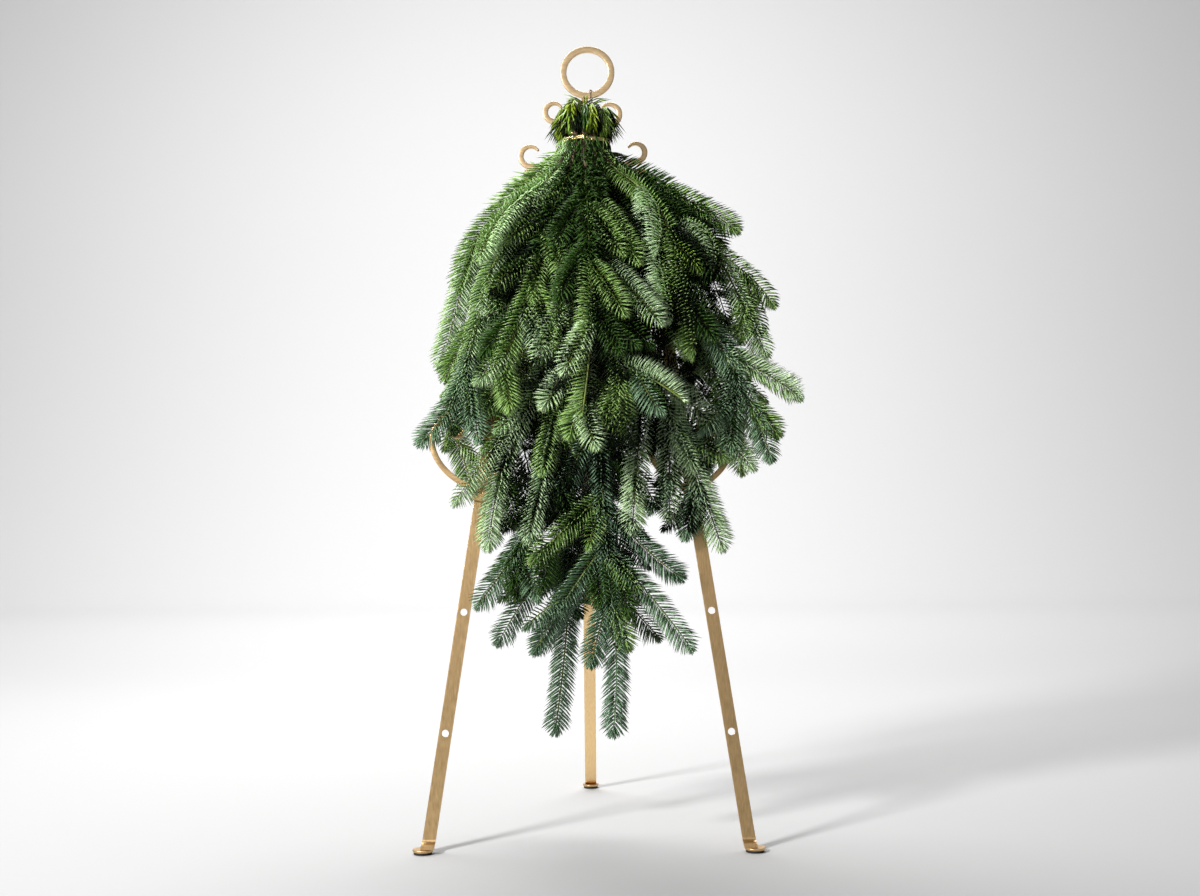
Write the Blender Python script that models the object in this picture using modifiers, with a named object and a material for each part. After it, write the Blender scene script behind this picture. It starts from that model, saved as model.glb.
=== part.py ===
# A swag of cut noble fir boughs, tied at the neck and hung on a three-legged brass easel.
# Metres, +Z up, seen from -Y. The origin is on the floor under the middle of the whole object.
import math

import bmesh
import bpy
import numpy as np
from mathutils import Matrix
from mathutils.bvhtree import BVHTree

# Driving dimensions of the easel. Its two front legs and all its flat work lie in one plane
# that leans back from the line between the front feet.
GAP = 0.0003
LEG_HALF_SPREAD = 0.2187
LEG_SPLAY = 0.15
LEAN_BACK = 0.14
BAR_WIDTH = 0.018
BAR_THICKNESS = 0.006
BAR_BEND = 0.009
TOE_LENGTH = 0.018
CROSSBAR_HEIGHT = 0.9392
CROSSBAR_WIDTH = 0.009
REAR_REACH = 0.417
REAR_TOE_LENGTH = 0.015
FLAT_WORK = 0.005
POST_WIDTH = 0.010
RING_CENTRE = (0.004, 1.0865)
RING_RADIUS = 0.039
RING_BAND = 0.0076
PEG_HEIGHTS = (0.157, 0.32)
PEG_RADIUS = 0.005
PAD_THICKNESS = 0.0032
PAD_INSET = 0.0015
DISC_THICKNESS = 0.003
DISC_RADIUS = 0.014
DISC_OFFSET = (0.005, -0.008)
REAR_DISC_RADIUS = 0.0125
REAR_DISC_OFFSET = 0.006

# The curls and scrolls are bent by hand, so each has its own centre and radius.
CURL_BAND = 0.0078
CURL_SWEEP = 236
CURL_TIGHTENING = 0.18
CURL_TAPER = 0.62
CURLS = {
    "shoulder_left": dict(centre=(-0.0768, 0.9635), radius=0.0193),
    "shoulder_right": dict(centre=(0.0716, 0.9680), radius=0.0180),
    "neck_left": dict(centre=(-0.0428, 1.0280), radius=0.0180),
    "neck_right": dict(centre=(0.0342, 1.0246), radius=0.0198),
}
SHOULDER_ROOT = 0.040
SCROLL_BAND = 0.0078
SCROLL_RADIUS = 0.058
POINT_WAIST = 0.075
POINT_DROP = 0.09
POINT_SPREAD = math.radians(12)
LOBE_TURN = 128
LOBE_RADIUS = 0.41
LOBE_SWEEP = 292
LOBE_TIGHTENING = 0.72
SCROLL_CENTRES = {"left": (-0.157, 0.5504), "right": (0.144, 0.5455)}
COLLAR_HEIGHT = 0.024
COLLAR_HALF_WIDTH = 0.0125
COLLAR_MIDDLE = 0.4835
FLOOR_LINE = PAD_THICKNESS + DISC_THICKNESS + 2 * GAP + BAR_THICKNESS / 2

# Driving dimensions of the swag. Its boughs stand in two rings round one sprig at the tie.
TIE_HEIGHT = 0.985
BUNDLE_Y = 0.094
OUTER_RING = 0.0255
INNER_RING = 0.0126
OUTER_STEM = 0.0064
INNER_STEM = 0.0061
LIMB_END_RADIUS = 0.0045
OUTER_LIMB = 0.052
INNER_LIMB = 0.075
PLUMB_LENGTH = 0.015
LEAN_LENGTH = 0.009
OUTER_BUTT = 0.026
INNER_BUTT = 0.040
TIE_DROP = 0.009
STEM_START = 0.0040
STEM_TIP = 0.0013
NEEDLE_REACH = 0.029
NEEDLE_ANGLE = math.radians(50)
TOOTH_PITCH = 0.034
RIDGE = 0.0035
LIFT = 0.009
SEED = 7

# Middle of the whole object's width and depth, measured from the line between the front feet.
MIDDLE_X = 0.0173
MIDDLE_Y = 0.188

# Each bough hangs from its slot in the tie. A lean is the angle from plumb to the right of
# whoever faces the spray, an out is the angle towards them, both in degrees at equal steps
# from tie to tip. A shoot is (where on the bough, lean, out, length[, curl of its lean]).
BOUGHS = {
    "centre": dict(ring=INNER_RING, slot=0, face=0, length=0.46,
                   leans=(0, 2, 0, -3, -1, 24), outs=(0, 16, 20, 16, 16, 18),
                   shoots=((0.50, -30, 14, 0.09), (0.56, 26, 14, 0.10), (0.72, -40, 14, 0.09),
                           (0.78, 34, 12, 0.09), (0.84, -22, 14, 0.06))),
    "front": dict(ring=OUTER_RING, slot=0, face=0, length=0.42,
                  leans=(0, 3, 3, 1, -5, -9), outs=(0, 34, 26, 14, 10, 4),
                  shoots=((0.24, -32, 22, 0.09), (0.28, 34, 20, 0.09), (0.44, -30, 18, 0.09),
                          (0.50, 32, 18, 0.09), (0.64, 30, 14, 0.08), (0.70, -28, 10, 0.08))),
    "front_right": dict(ring=OUTER_RING, slot=30, face=0, length=0.43,
                        leans=(0, 5, 6, 9, 6, -2), outs=(0, 30, 20, 12, 4, 0),
                        shoots=((0.25, 32, 20, 0.11), (0.38, -22, 20, 0.08),
                                (0.48, 42, 16, 0.115), (0.64, 26, 6, 0.09),
                                (0.80, 58, 20, 0.105), (0.84, -18, 6, 0.07))),
    "right_front": dict(ring=OUTER_RING, slot=60, face=0, length=0.365,
                        leans=(10, 54, 32, 14, 8, 2), outs=(0, 26, 18, 8, 0, 0),
                        shoots=((0.30, 12, 26, 0.11, -60), (0.32, 10, 16, 0.19),
                                (0.50, 38, 6, 0.09), (0.62, -14, 6, 0.09),
                                (0.80, 36, 4, 0.06))),
    "front_left": dict(ring=INNER_RING, slot=300, face=0, length=0.345,
                       leans=(0, -3, -4, -8, -18, -36), outs=(0, 22, 22, 18, 12, 6),
                       shoots=((0.46, -42, 14, 0.10), (0.56, 22, 18, 0.09),
                               (0.76, 4, 12, 0.08))),
    "left_front": dict(ring=OUTER_RING, slot=330, face=0, length=0.385,
                       leans=(-5, -24, -12, -18, -22, -14), outs=(0, 24, 18, 8, 4, 0),
                       shoots=((0.28, -30, 16, 0.09), (0.40, 18, 20, 0.12),
                               (0.46, -34, 8, 0.09), (0.60, 16, 8, 0.10),
                               (0.72, -44, 4, 0.08))),
    "left_arch": dict(ring=OUTER_RING, slot=300, face=0, length=0.43,
                      leans=(-20, -38, -30, -30, -8, -20, -22), outs=(0, 24, 10, 4, 0, 0, 0),
                      shoots=((0.20, -38, 28, 0.16, 46), (0.44, 14, 8, 0.11),
                              (0.56, 12, 4, 0.11), (0.70, -30, -4, 0.095),
                              (0.80, -29, 4, 0.15, -40), (0.84, 8, 0, 0.075))),
    "left_out": dict(ring=OUTER_RING, slot=270, face=0, length=0.275,
                     leans=(-25, -54, -47, -42, -26, -6), outs=(0, 8, 6, 2, 0, 0),
                     shoots=((0.40, -14, 4, 0.10), (0.60, -7, -8, 0.17),
                             (0.72, -16, 0, 0.19))),
    "right_mid": dict(ring=OUTER_RING, slot=90, face=0, length=0.35,
                      leans=(10, 56, 46, 48, 52, 34), outs=(0, 16, 12, 4, 0, 0),
                      shoots=((0.38, 22, 8, 0.12), (0.50, 30, 22, 0.095, -100),
                              (0.66, 26, 2, 0.17), (0.82, 16, 0, 0.09))),
    "right": dict(ring=OUTER_RING, slot=120, face=0, length=0.245,
                  leans=(20, 66, 60, 60, 60, 56), outs=(0, 0, 8, 6, 0, 0),
                  shoots=((0.34, 42, 10, 0.11), (0.50, 36, 8, 0.10), (0.68, 34, 4, 0.08))),
    "right_long": dict(ring=INNER_RING, slot=60, face=0, length=0.53,
                       leans=(0, 36, 36, 34, 26, 16), outs=(0, 14, 12, 6, 0, 0),
                       shoots=((0.44, 12, 10, 0.12), (0.60, 40, 0, 0.09),
                               (0.70, 60, 0, 0.12), (0.76, -4, 0, 0.11),
                               (0.84, 40, 0, 0.06))),
    "right_low": dict(ring=INNER_RING, slot=120, face=0, length=0.615,
                      leans=(0, 10, 19, 26, 20, 18), outs=(0, 10, 12, 6, 0, 0),
                      shoots=((0.44, -4, 8, 0.14), (0.56, 45, 4, 0.20), (0.54, -5, 6, 0.24),
                              (0.70, 34, 0, 0.08), (0.66, 0, 2, 0.155),
                              (0.84, -14, 0, 0.08))),
    "left_mid": dict(ring=OUTER_RING, slot=240, face=0, length=0.60,
                     leans=(0, -3, -5, -14, -28, -14, -6), outs=(0, 10, 14, 10, 4, 2, 0),
                     shoots=((0.34, -40, 6, 0.10), (0.42, 14, 8, 0.11),
                             (0.52, -46, 10, 0.135, 38), (0.60, -40, -2, 0.12),
                             (0.62, 27, -6, 0.115), (0.68, -38, 8, 0.155, 12),
                             (0.82, 16, 0, 0.08))),
    "left_low": dict(ring=INNER_RING, slot=240, face=0, length=0.69,
                     leans=(0, -2, -3, -5, -9, -10, -16, -34, -38),
                     outs=(0, 6, 10, 10, 6, 4, 0, 0, 0),
                     shoots=((0.42, -30, 6, 0.11), (0.50, -12, 12, 0.14),
                             (0.60, -13, 6, 0.165), (0.66, 18, 4, 0.11),
                             (0.84, -6, 0, 0.08))),
    "tail": dict(ring=INNER_RING, slot=180, face=0, length=0.84,
                 leans=(0, 3, 3, 3, 6, -7), outs=(0, 8, 10, 6, 0, 0),
                 shoots=((0.46, 24, 8, 0.12), (0.48, -26, 8, 0.12), (0.61, -48, 6, 0.135),
                         (0.62, 46, 6, 0.15, 16), (0.685, -34, 6, 0.18),
                         (0.695, 40, 6, 0.18), (0.765, -16, 2, 0.105),
                         (0.78, 18, 0, 0.07))),
    "tail_back": dict(ring=OUTER_RING, slot=180, face=0, length=0.85,
                      leans=(0, -2, -3, -3, -4, -9), outs=(0, -8, -4, 6, 4, 0),
                      shoots=((0.46, 26, -16, 0.14), (0.47, -26, -16, 0.14),
                              (0.66, -34, 0, 0.195), (0.60, 30, -6, 0.15),
                              (0.70, 46, 0, 0.175), (0.71, -12, 0, 0.10),
                              (0.76, -28, -6, 0.10))),
    "back_left": dict(ring=OUTER_RING, slot=210, face=180, length=0.58,
                      leans=(5, 34, 30, 24, 16, 8), outs=(0, 14, 8, 2, 0, 0),
                      shoots=((0.26, -14, 8, 0.13), (0.30, 52, 0, 0.11), (0.42, -12, 8, 0.14),
                              (0.46, 54, 0, 0.12), (0.60, -16, 6, 0.13), (0.64, 48, 0, 0.12),
                              (0.78, -18, 2, 0.10), (0.80, 42, 0, 0.09))),
    "back_right": dict(ring=OUTER_RING, slot=150, face=180, length=0.54,
                       leans=(-5, -38, -32, -26, -18, -8), outs=(0, 14, 8, 2, 0, 0),
                       shoots=((0.26, 14, 8, 0.13), (0.30, -54, 0, 0.11), (0.42, 12, 8, 0.14),
                               (0.46, -56, 0, 0.12), (0.60, 16, 6, 0.13), (0.64, -50, 0, 0.12),
                               (0.78, 18, 2, 0.10), (0.80, -44, 0, 0.09))),
}

TUFT_SPRAYS = 15
TUFT_LENGTH = 0.072
TUFT_OUTS = (96, 88, 62, 14, 0)
TUFT_PITCH = 0.013
TUFT_REACH = 0.014

lean_angle = math.atan(LEAN_BACK)
rng = np.random.default_rng(SEED)

for old in list(bpy.data.objects):
    bpy.data.objects.remove(old, do_unlink=True)

parts = bpy.data.collections.new("noble_fir_swag")
cutters = bpy.data.collections.new("cutters")
cutters.hide_render = True
for group in (parts, cutters):
    bpy.context.scene.collection.children.link(group)


def material(name, colour, roughness, metallic=0.0):
    made = bpy.data.materials.new(name)
    made.use_nodes = True
    shader = made.node_tree.nodes["Principled BSDF"]
    shader.inputs["Base Color"].default_value = (*colour, 1.0)
    shader.inputs["Roughness"].default_value = roughness
    shader.inputs["Metallic"].default_value = metallic
    return made


BRASS = material("satin_brass", (0.56, 0.40, 0.20), 0.35, 1.0)
RUBBER = material("rubber", (0.02, 0.02, 0.02), 0.8)
BARK = material("bark", (0.16, 0.13, 0.06), 0.75)
NEEDLES = material("needles", (0.05, 0.13, 0.05), 0.55)
GOLD_CORD = material("gold_cord", (0.72, 0.52, 0.18), 0.4, 0.6)
TWINE = material("twine", (0.28, 0.17, 0.08), 0.9)


def empty(name, parent=None, rotation=(0, 0, 0)):
    made = bpy.data.objects.new(name, None)
    made.parent = parent
    made.rotation_euler = rotation
    parts.objects.link(made)
    return made


foot_line = empty("foot_line")
head_plane = empty("head_plane", foot_line, (math.pi / 2 - lean_angle, 0, 0))


def place(name, data, finish, parent, location=(0, 0, 0), rotation=(0, 0, 0)):
    made = bpy.data.objects.new(name, data)
    made.parent = parent
    made.location = location
    made.rotation_euler = rotation
    data.materials.clear()
    data.materials.append(finish)
    parts.objects.link(made)
    return made


def flat_outline(loops, thickness):
    """A flat plate with the given outer loop and holes, as a filled 2D curve."""
    curve = bpy.data.curves.new("outline", "CURVE")
    curve.dimensions = "2D"
    curve.fill_mode = "BOTH"
    curve.extrude = thickness / 2
    for loop in loops:
        spline = curve.splines.new("POLY")
        spline.points.add(len(loop) - 1)
        spline.use_cyclic_u = True
        for point, (x, y) in zip(spline.points, loop):
            point.co = (x, y, 0, 1)
    return curve


def circle(radius, count, centre=(0, 0)):
    turns = np.arange(count) / count * 2 * math.pi
    return [(centre[0] + radius * math.cos(t), centre[1] + radius * math.sin(t)) for t in turns]


def ribbon(centres, half_widths):
    """The closed outline of a strip that follows a centre line in its own plane."""
    centres = np.array(centres, float)
    ahead = np.gradient(centres, axis=0)
    ahead /= np.linalg.norm(ahead, axis=1)[:, None]
    aside = np.stack((-ahead[:, 1], ahead[:, 0]), axis=1) * np.array(half_widths)[:, None]
    return [tuple(p) for p in np.vstack((centres + aside, (centres - aside)[::-1]))]


def to_mesh(obj):
    """Replaces a curve object with the mesh that it makes, its caps welded."""
    bpy.context.view_layer.update()
    evaluated = obj.evaluated_get(bpy.context.evaluated_depsgraph_get())
    mesh = bpy.data.meshes.new_from_object(evaluated)
    shape = bmesh.new()
    shape.from_mesh(mesh)
    bmesh.ops.remove_doubles(shape, verts=shape.verts, dist=0.00001)
    shape.to_mesh(mesh)
    shape.free()
    name, parent = obj.name, obj.parent
    location, rotation = obj.location.copy(), obj.rotation_euler.copy()
    bpy.data.objects.remove(obj, do_unlink=True)
    made = bpy.data.objects.new(name, mesh)
    made.parent = parent
    made.location = location
    made.rotation_euler = rotation
    parts.objects.link(made)
    return made


def move_to_cutters(obj):
    parts.objects.unlink(obj)
    cutters.objects.link(obj)
    obj.hide_render = True
    obj.display_type = "WIRE"


def boolean(obj, tool, operation):
    modifier = obj.modifiers.new(operation.lower(), "BOOLEAN")
    modifier.operation = operation
    modifier.object = tool


def cylinder(name, radius, depth, parent, location, rotation=(0, 0, 0), sides=20, finish=BRASS):
    mesh = bpy.data.meshes.new(name)
    shape = bmesh.new()
    bmesh.ops.create_cone(shape, cap_ends=True, segments=sides, radius1=radius, radius2=radius,
                          depth=depth)
    shape.to_mesh(mesh)
    shape.free()
    return place(name, mesh, finish, parent, location, rotation)


def block(name, size, parent, location, finish=BRASS):
    mesh = bpy.data.meshes.new(name)
    shape = bmesh.new()
    bmesh.ops.create_cube(shape, size=1.0, matrix=Matrix.Diagonal((*size, 1.0)))
    shape.to_mesh(mesh)
    shape.free()
    return place(name, mesh, finish, parent, location)


def plane_height(height):
    """Distance up the leaning plane to a point at this height."""
    return height / math.cos(lean_angle)


def leg_x(height):
    return LEG_HALF_SPREAD - LEG_SPLAY * height


def bent_bar(foot, top, toe, steps=5):
    """Side view of a flat bar: a toe along the floor, a bend, and a straight run to its top."""
    rise = math.atan2(top[1] - FLOOR_LINE, top[0] - foot)
    turn = rise if toe < 0 else math.pi - rise
    side = 1 if toe < 0 else -1
    run = BAR_BEND * math.tan(turn / 2)
    line = [(foot + toe, FLOOR_LINE)]
    for step in range(steps + 1):
        angle = turn * step / steps
        line.append((foot - side * run + side * BAR_BEND * math.sin(angle),
                     FLOOR_LINE + BAR_BEND * (1 - math.cos(angle))))
    line.append(top)
    return ribbon(line, [BAR_THICKNESS / 2] * len(line))


def front_leg(side, name):
    """A flat bar in the leaning plane, splayed sideways, with its toe turned to the front."""
    top_height = CROSSBAR_HEIGHT + CROSSBAR_WIDTH / 2 - GAP
    outline = bent_bar(LEAN_BACK * FLOOR_LINE, (LEAN_BACK * top_height, top_height), -TOE_LENGTH)
    leg = place(name, flat_outline([outline], BAR_WIDTH), BRASS, foot_line,
                rotation=(math.pi / 2, 0, math.pi / 2))
    leg = to_mesh(leg)
    leg.data.transform(Matrix(((1, 0, 0, 0), (0, 1, 0, 0),
                               (0, -side * LEG_SPLAY, 1, side * LEG_HALF_SPREAD),
                               (0, 0, 0, 1))))
    for height in PEG_HEIGHTS:
        place_at = (side * leg_x(height), plane_height(height), 0)
        hole = cylinder(f"{name}_peg_{height}", PEG_RADIUS, 4 * BAR_THICKNESS, head_plane,
                        place_at, sides=16)
        move_to_cutters(hole)
        boolean(leg, hole, "DIFFERENCE")
    return leg


def foot(name, x, y, radius):
    """A brass disc on a thinner rubber pad."""
    pad = PAD_THICKNESS
    cylinder(f"pad_{name}", radius - PAD_INSET, pad, foot_line, (x, y, pad / 2), sides=24,
             finish=RUBBER)
    cylinder(f"foot_{name}", radius, DISC_THICKNESS, foot_line,
             (x, y, pad + GAP + DISC_THICKNESS / 2), sides=24)


HINGE_DEPTH = 0.011
HINGE_PIN = 0.0027
HINGE_KNUCKLE = 0.0055
PIN_END = 0.002
LUG = (0.004, 0.014, 0.0175)
LUG_SEAT = 0.001


def crossbar():
    """A straight bar between the two legs, with two lugs behind it for the rear leg."""
    half = CROSSBAR_WIDTH / 2
    low, high = CROSSBAR_HEIGHT - half, CROSSBAR_HEIGHT + half
    inner = BAR_WIDTH / 2 + 2 * GAP
    corners = [(-(leg_x(low) - inner), low), (leg_x(low) - inner, low),
               (leg_x(high) - inner, high), (-(leg_x(high) - inner), high)]
    outline = [(x, plane_height(z)) for x, z in corners]
    bar = to_mesh(place("crossbar", flat_outline([outline], FLAT_WORK), BRASS, head_plane))
    for side in (-1, 1):
        x = side * (BAR_WIDTH / 2 + 2 * GAP + LUG[0] / 2)
        lug = block(f"lug_{side}", LUG, head_plane,
                    (x, plane_height(CROSSBAR_HEIGHT), LUG_SEAT - FLAT_WORK / 2 - LUG[2] / 2))
        move_to_cutters(lug)
        boolean(bar, lug, "UNION")
    hole = cylinder("lug_hole", HINGE_PIN + GAP, 3 * BAR_WIDTH, head_plane,
                    (0, plane_height(CROSSBAR_HEIGHT), -HINGE_DEPTH), (0, math.pi / 2, 0),
                    sides=12)
    move_to_cutters(hole)
    boolean(bar, hole, "DIFFERENCE")


def rear_leg():
    """A bar that hangs on the hinge pin behind the crossbar, with its toe turned to the back."""
    along = plane_height(CROSSBAR_HEIGHT)
    pin_y = along * math.sin(lean_angle) + HINGE_DEPTH * math.cos(lean_angle)
    pin_z = along * math.cos(lean_angle) - HINGE_DEPTH * math.sin(lean_angle)
    outline = bent_bar(REAR_REACH, (pin_y, pin_z), REAR_TOE_LENGTH)
    leg = to_mesh(place("leg_rear", flat_outline([outline], BAR_WIDTH), BRASS, foot_line,
                        rotation=(math.pi / 2, 0, math.pi / 2)))
    pin_width = BAR_WIDTH + 2 * LUG[0] + 2 * PIN_END
    for name, radius, width in (("knuckle", HINGE_KNUCKLE, BAR_WIDTH), ("pin", HINGE_PIN, pin_width)):
        tool = cylinder(name, radius, width, foot_line, (0, pin_y, pin_z), (0, math.pi / 2, 0),
                        sides=12)
        move_to_cutters(tool)
        boolean(leg, tool, "UNION")


def curl_line(centre, radius, root, steps=14):
    """A curl of the right side: a root that runs out to its bottom, then an arc that closes."""
    points = [root]
    for step in range(steps + 1):
        share = step / steps
        angle = math.radians(-90 + CURL_SWEEP * share)
        r = radius * (1 - CURL_TIGHTENING * share ** 3)
        points.append((centre[0] + r * math.cos(angle), centre[1] + r * math.sin(angle)))
    return points


def curls():
    """Four small curls: two on the crossbar and two at the post, each tapering to its tip."""
    half = CURL_BAND / 2
    shelf = plane_height(CROSSBAR_HEIGHT + CROSSBAR_WIDTH / 2) + GAP + half
    for name, curl in CURLS.items():
        x, z = curl["centre"]
        side = math.copysign(1, x)
        radius = curl["radius"] - half
        centre = (abs(x), plane_height(z))
        if name.startswith("shoulder"):
            root = (SHOULDER_ROOT, shelf)
        else:
            root = (POST_WIDTH / 2 + GAP, centre[1] - radius)
        line = curl_line(centre, radius, root)
        share = np.linspace(0, 1, len(line))
        widths = half * (1 - CURL_TAPER * np.clip((share - 0.45) / 0.55, 0, 1))
        loop = [(side * px, py) for px, py in ribbon(line, widths)]
        place(f"curl_{name}", flat_outline([loop], FLAT_WORK), BRASS, head_plane)


def scroll_line():
    """A heart of one strip, from the tip of its one lobe, round its point, to the other's.

    At a turn from straight down the line is drawn in between the point and the widest place.
    Each lobe then winds in round its own centre, which lies on the line's last radius.
    """
    turns = np.radians(np.linspace(0, LOBE_TURN, 15))
    low = np.minimum(turns, math.pi / 2)
    reach = 1 - POINT_WAIST * np.sin(2 * low) + POINT_DROP * np.exp(-turns / POINT_SPREAD)
    outer = SCROLL_RADIUS * np.stack((reach * np.sin(turns), -reach * np.cos(turns)), axis=1)
    heading = turns[-1] - math.pi / 2
    centre = outer[-1] * (1 - LOBE_RADIUS)
    share = np.linspace(0, 1, 13)[1:]
    angles = heading + math.radians(LOBE_SWEEP) * share
    wound = SCROLL_RADIUS * LOBE_RADIUS * (1 - LOBE_TIGHTENING * share)[:, None]
    lobe = centre + wound * np.stack((np.cos(angles), np.sin(angles)), axis=1)
    half = np.vstack((outer, lobe))
    return np.vstack((half[:0:-1] * (-1, 1), half))


def scrolls():
    """A scroll in front of each leg, its point against the face of the leg's collar."""
    line = scroll_line()
    share = np.linspace(0, 1, len(line))
    widths = SCROLL_BAND / 2 * np.clip(0.5 + 4 * np.minimum(share, 1 - share), 0.5, 1)
    front = BAR_THICKNESS / 2 + GAP + FLAT_WORK + GAP + FLAT_WORK / 2
    for name, (x, z) in SCROLL_CENTRES.items():
        side = math.copysign(1, x)
        loop = [(x + side * px, plane_height(z) + py) for px, py in ribbon(line, widths)]
        place(f"scroll_{name}", flat_outline([loop], FLAT_WORK), BRASS, head_plane,
              (0, 0, front))


SCREW_RADIUS = 0.002
SCREW_DEPTH = 0.003


def collars():
    """A collar round the front of each leg, with a sunk screw hole in its face."""
    inner = BAR_WIDTH / 2 + 2 * GAP
    outer = COLLAR_HALF_WIDTH
    back = -BAR_THICKNESS / 2
    face = BAR_THICKNESS / 2 + GAP
    section = [(-outer, back), (-inner, back), (-inner, face), (inner, face), (inner, back),
               (outer, back), (outer, face + FLAT_WORK), (-outer, face + FLAT_WORK)]
    for side, name in ((-1, "left"), (1, "right")):
        tilt = math.atan(side * LEG_SPLAY)
        middle = (side * leg_x(COLLAR_MIDDLE), plane_height(COLLAR_MIDDLE))
        collar = to_mesh(place(f"collar_{name}", flat_outline([section], COLLAR_HEIGHT), BRASS,
                               head_plane, (*middle, 0), (-math.pi / 2, 0, 0)))
        collar.data.transform(Matrix.Scale(-1, 4, (0, 1, 0)))
        collar.data.flip_normals()
        collar.data.transform(Matrix.Rotation(-tilt, 4, "Y"))
        screw = cylinder(f"screw_{name}", SCREW_RADIUS, 2 * SCREW_DEPTH, head_plane,
                         (*middle, face + FLAT_WORK), sides=10)
        move_to_cutters(screw)
        boolean(collar, screw, "DIFFERENCE")


def ring_and_post():
    centre = (RING_CENTRE[0], plane_height(RING_CENTRE[1]))
    loops = [circle(RING_RADIUS, 36, centre), circle(RING_RADIUS - RING_BAND, 36, centre)]
    place("ring", flat_outline(loops, FLAT_WORK), BRASS, head_plane)
    low = plane_height(CROSSBAR_HEIGHT + CROSSBAR_WIDTH / 2) + GAP
    high = centre[1] - RING_RADIUS - GAP
    block("post", (POST_WIDTH, high - low, FLAT_WORK), head_plane, (0, (low + high) / 2, 0))


def build_easel():
    for side, name in ((-1, "left"), (1, "right")):
        front_leg(side, f"leg_{name}")
        foot(name, side * (leg_x(0) + DISC_OFFSET[0]), DISC_OFFSET[1], DISC_RADIUS)
    rear_leg()
    foot("rear", 0, REAR_REACH + REAR_DISC_OFFSET, REAR_DISC_RADIUS)
    crossbar()
    curls()
    scrolls()
    collars()
    ring_and_post()


def tube_curve(points, radii, sides):
    """A round tube along the points, its radius given at each of them."""
    curve = bpy.data.curves.new("tube", "CURVE")
    curve.dimensions = "3D"
    curve.bevel_depth = 1.0
    curve.bevel_resolution = sides // 2 - 2
    curve.use_fill_caps = True
    spline = curve.splines.new("POLY")
    spline.points.add(len(points) - 1)
    for point, place_at, radius in zip(spline.points, points, radii):
        point.co = (*place_at, 1)
        point.radius = radius
    return curve


def path_from(start, face, leans, outs, length, steps, plumb=0.0):
    """Grows a path from start: each stride heads down, turned by its lean and its out.

    A bough first hangs plumb in its tie, and then its lean and its out come in.
    """
    share = np.linspace(0, 1, steps + 1)
    free = np.clip((share * length - plumb) / LEAN_LENGTH, 0, 1) if plumb else 1.0
    lean = np.radians(np.interp(share, np.linspace(0, 1, len(leans)), leans)) * free
    out = np.radians(np.interp(share, np.linspace(0, 1, len(outs)), outs)) * free
    turn = math.radians(face)
    right = np.array((math.cos(turn), math.sin(turn), 0))
    towards = np.array((math.sin(turn), -math.cos(turn), 0))
    down = np.array((0, 0, -1.0))
    heading = ((np.cos(out) * np.sin(lean))[:, None] * right
               + (np.cos(out) * np.cos(lean))[:, None] * down
               + np.sin(out)[:, None] * towards)
    strides = (heading[1:] + heading[:-1]) / 2 * length / steps
    return np.vstack((start, start + np.cumsum(strides, axis=0)))


def at(path, share):
    """Points at these shares of a path made of equal strides."""
    index = np.arange(len(path)) / (len(path) - 1)
    return np.stack([np.interp(share, index, path[:, axis]) for axis in range(3)], axis=-1)


def bough_path(bough):
    slot = math.radians(bough["slot"])
    start = np.array((bough["ring"] * math.sin(slot), BUNDLE_Y - bough["ring"] * math.cos(slot),
                      TIE_HEIGHT))
    return path_from(start, bough["face"], bough["leans"], bough["outs"], bough["length"], 160,
                     PLUMB_LENGTH)


def limb(name, path, bough):
    """The bare part of a bough: from its sawn butt above the tie to where its needles start."""
    outer = bough["ring"] == OUTER_RING
    radius = OUTER_STEM if outer else INNER_STEM
    cut = OUTER_LIMB if outer else INNER_LIMB
    rise = OUTER_BUTT if outer else INNER_BUTT
    below = at(path, np.array((PLUMB_LENGTH, 0.43 * cut, 0.68 * cut, cut - 0.003, cut))
               / bough["length"])
    butt = path[0] + np.array((0, 0, rise + rng.uniform(-0.003, 0.003)))
    points = np.vstack((butt, below))
    radii = (radius * 0.97, radius, radius * 0.9, (radius + LIMB_END_RADIUS) / 2,
             LIMB_END_RADIUS, LIMB_END_RADIUS)
    obj = place(f"bough_{name}", tube_curve(points, radii, 8), BARK, foot_line)
    return to_mesh(obj)


def frames(path, share, face, twist):
    """Tangent, sideways and facing directions at shares of a path, turned by the twist."""
    turn = math.radians(face)
    towards = np.array((math.sin(turn), -math.cos(turn), 0))
    ahead = at(np.gradient(path, axis=0), share)
    ahead /= np.linalg.norm(ahead, axis=1)[:, None]
    facing = towards - (ahead @ towards)[:, None] * ahead
    facing /= np.linalg.norm(facing, axis=1)[:, None]
    aside = np.cross(ahead, facing)
    twisted = facing * math.cos(twist) + aside * math.sin(twist)
    return ahead, np.cross(ahead, twisted), twisted


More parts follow.
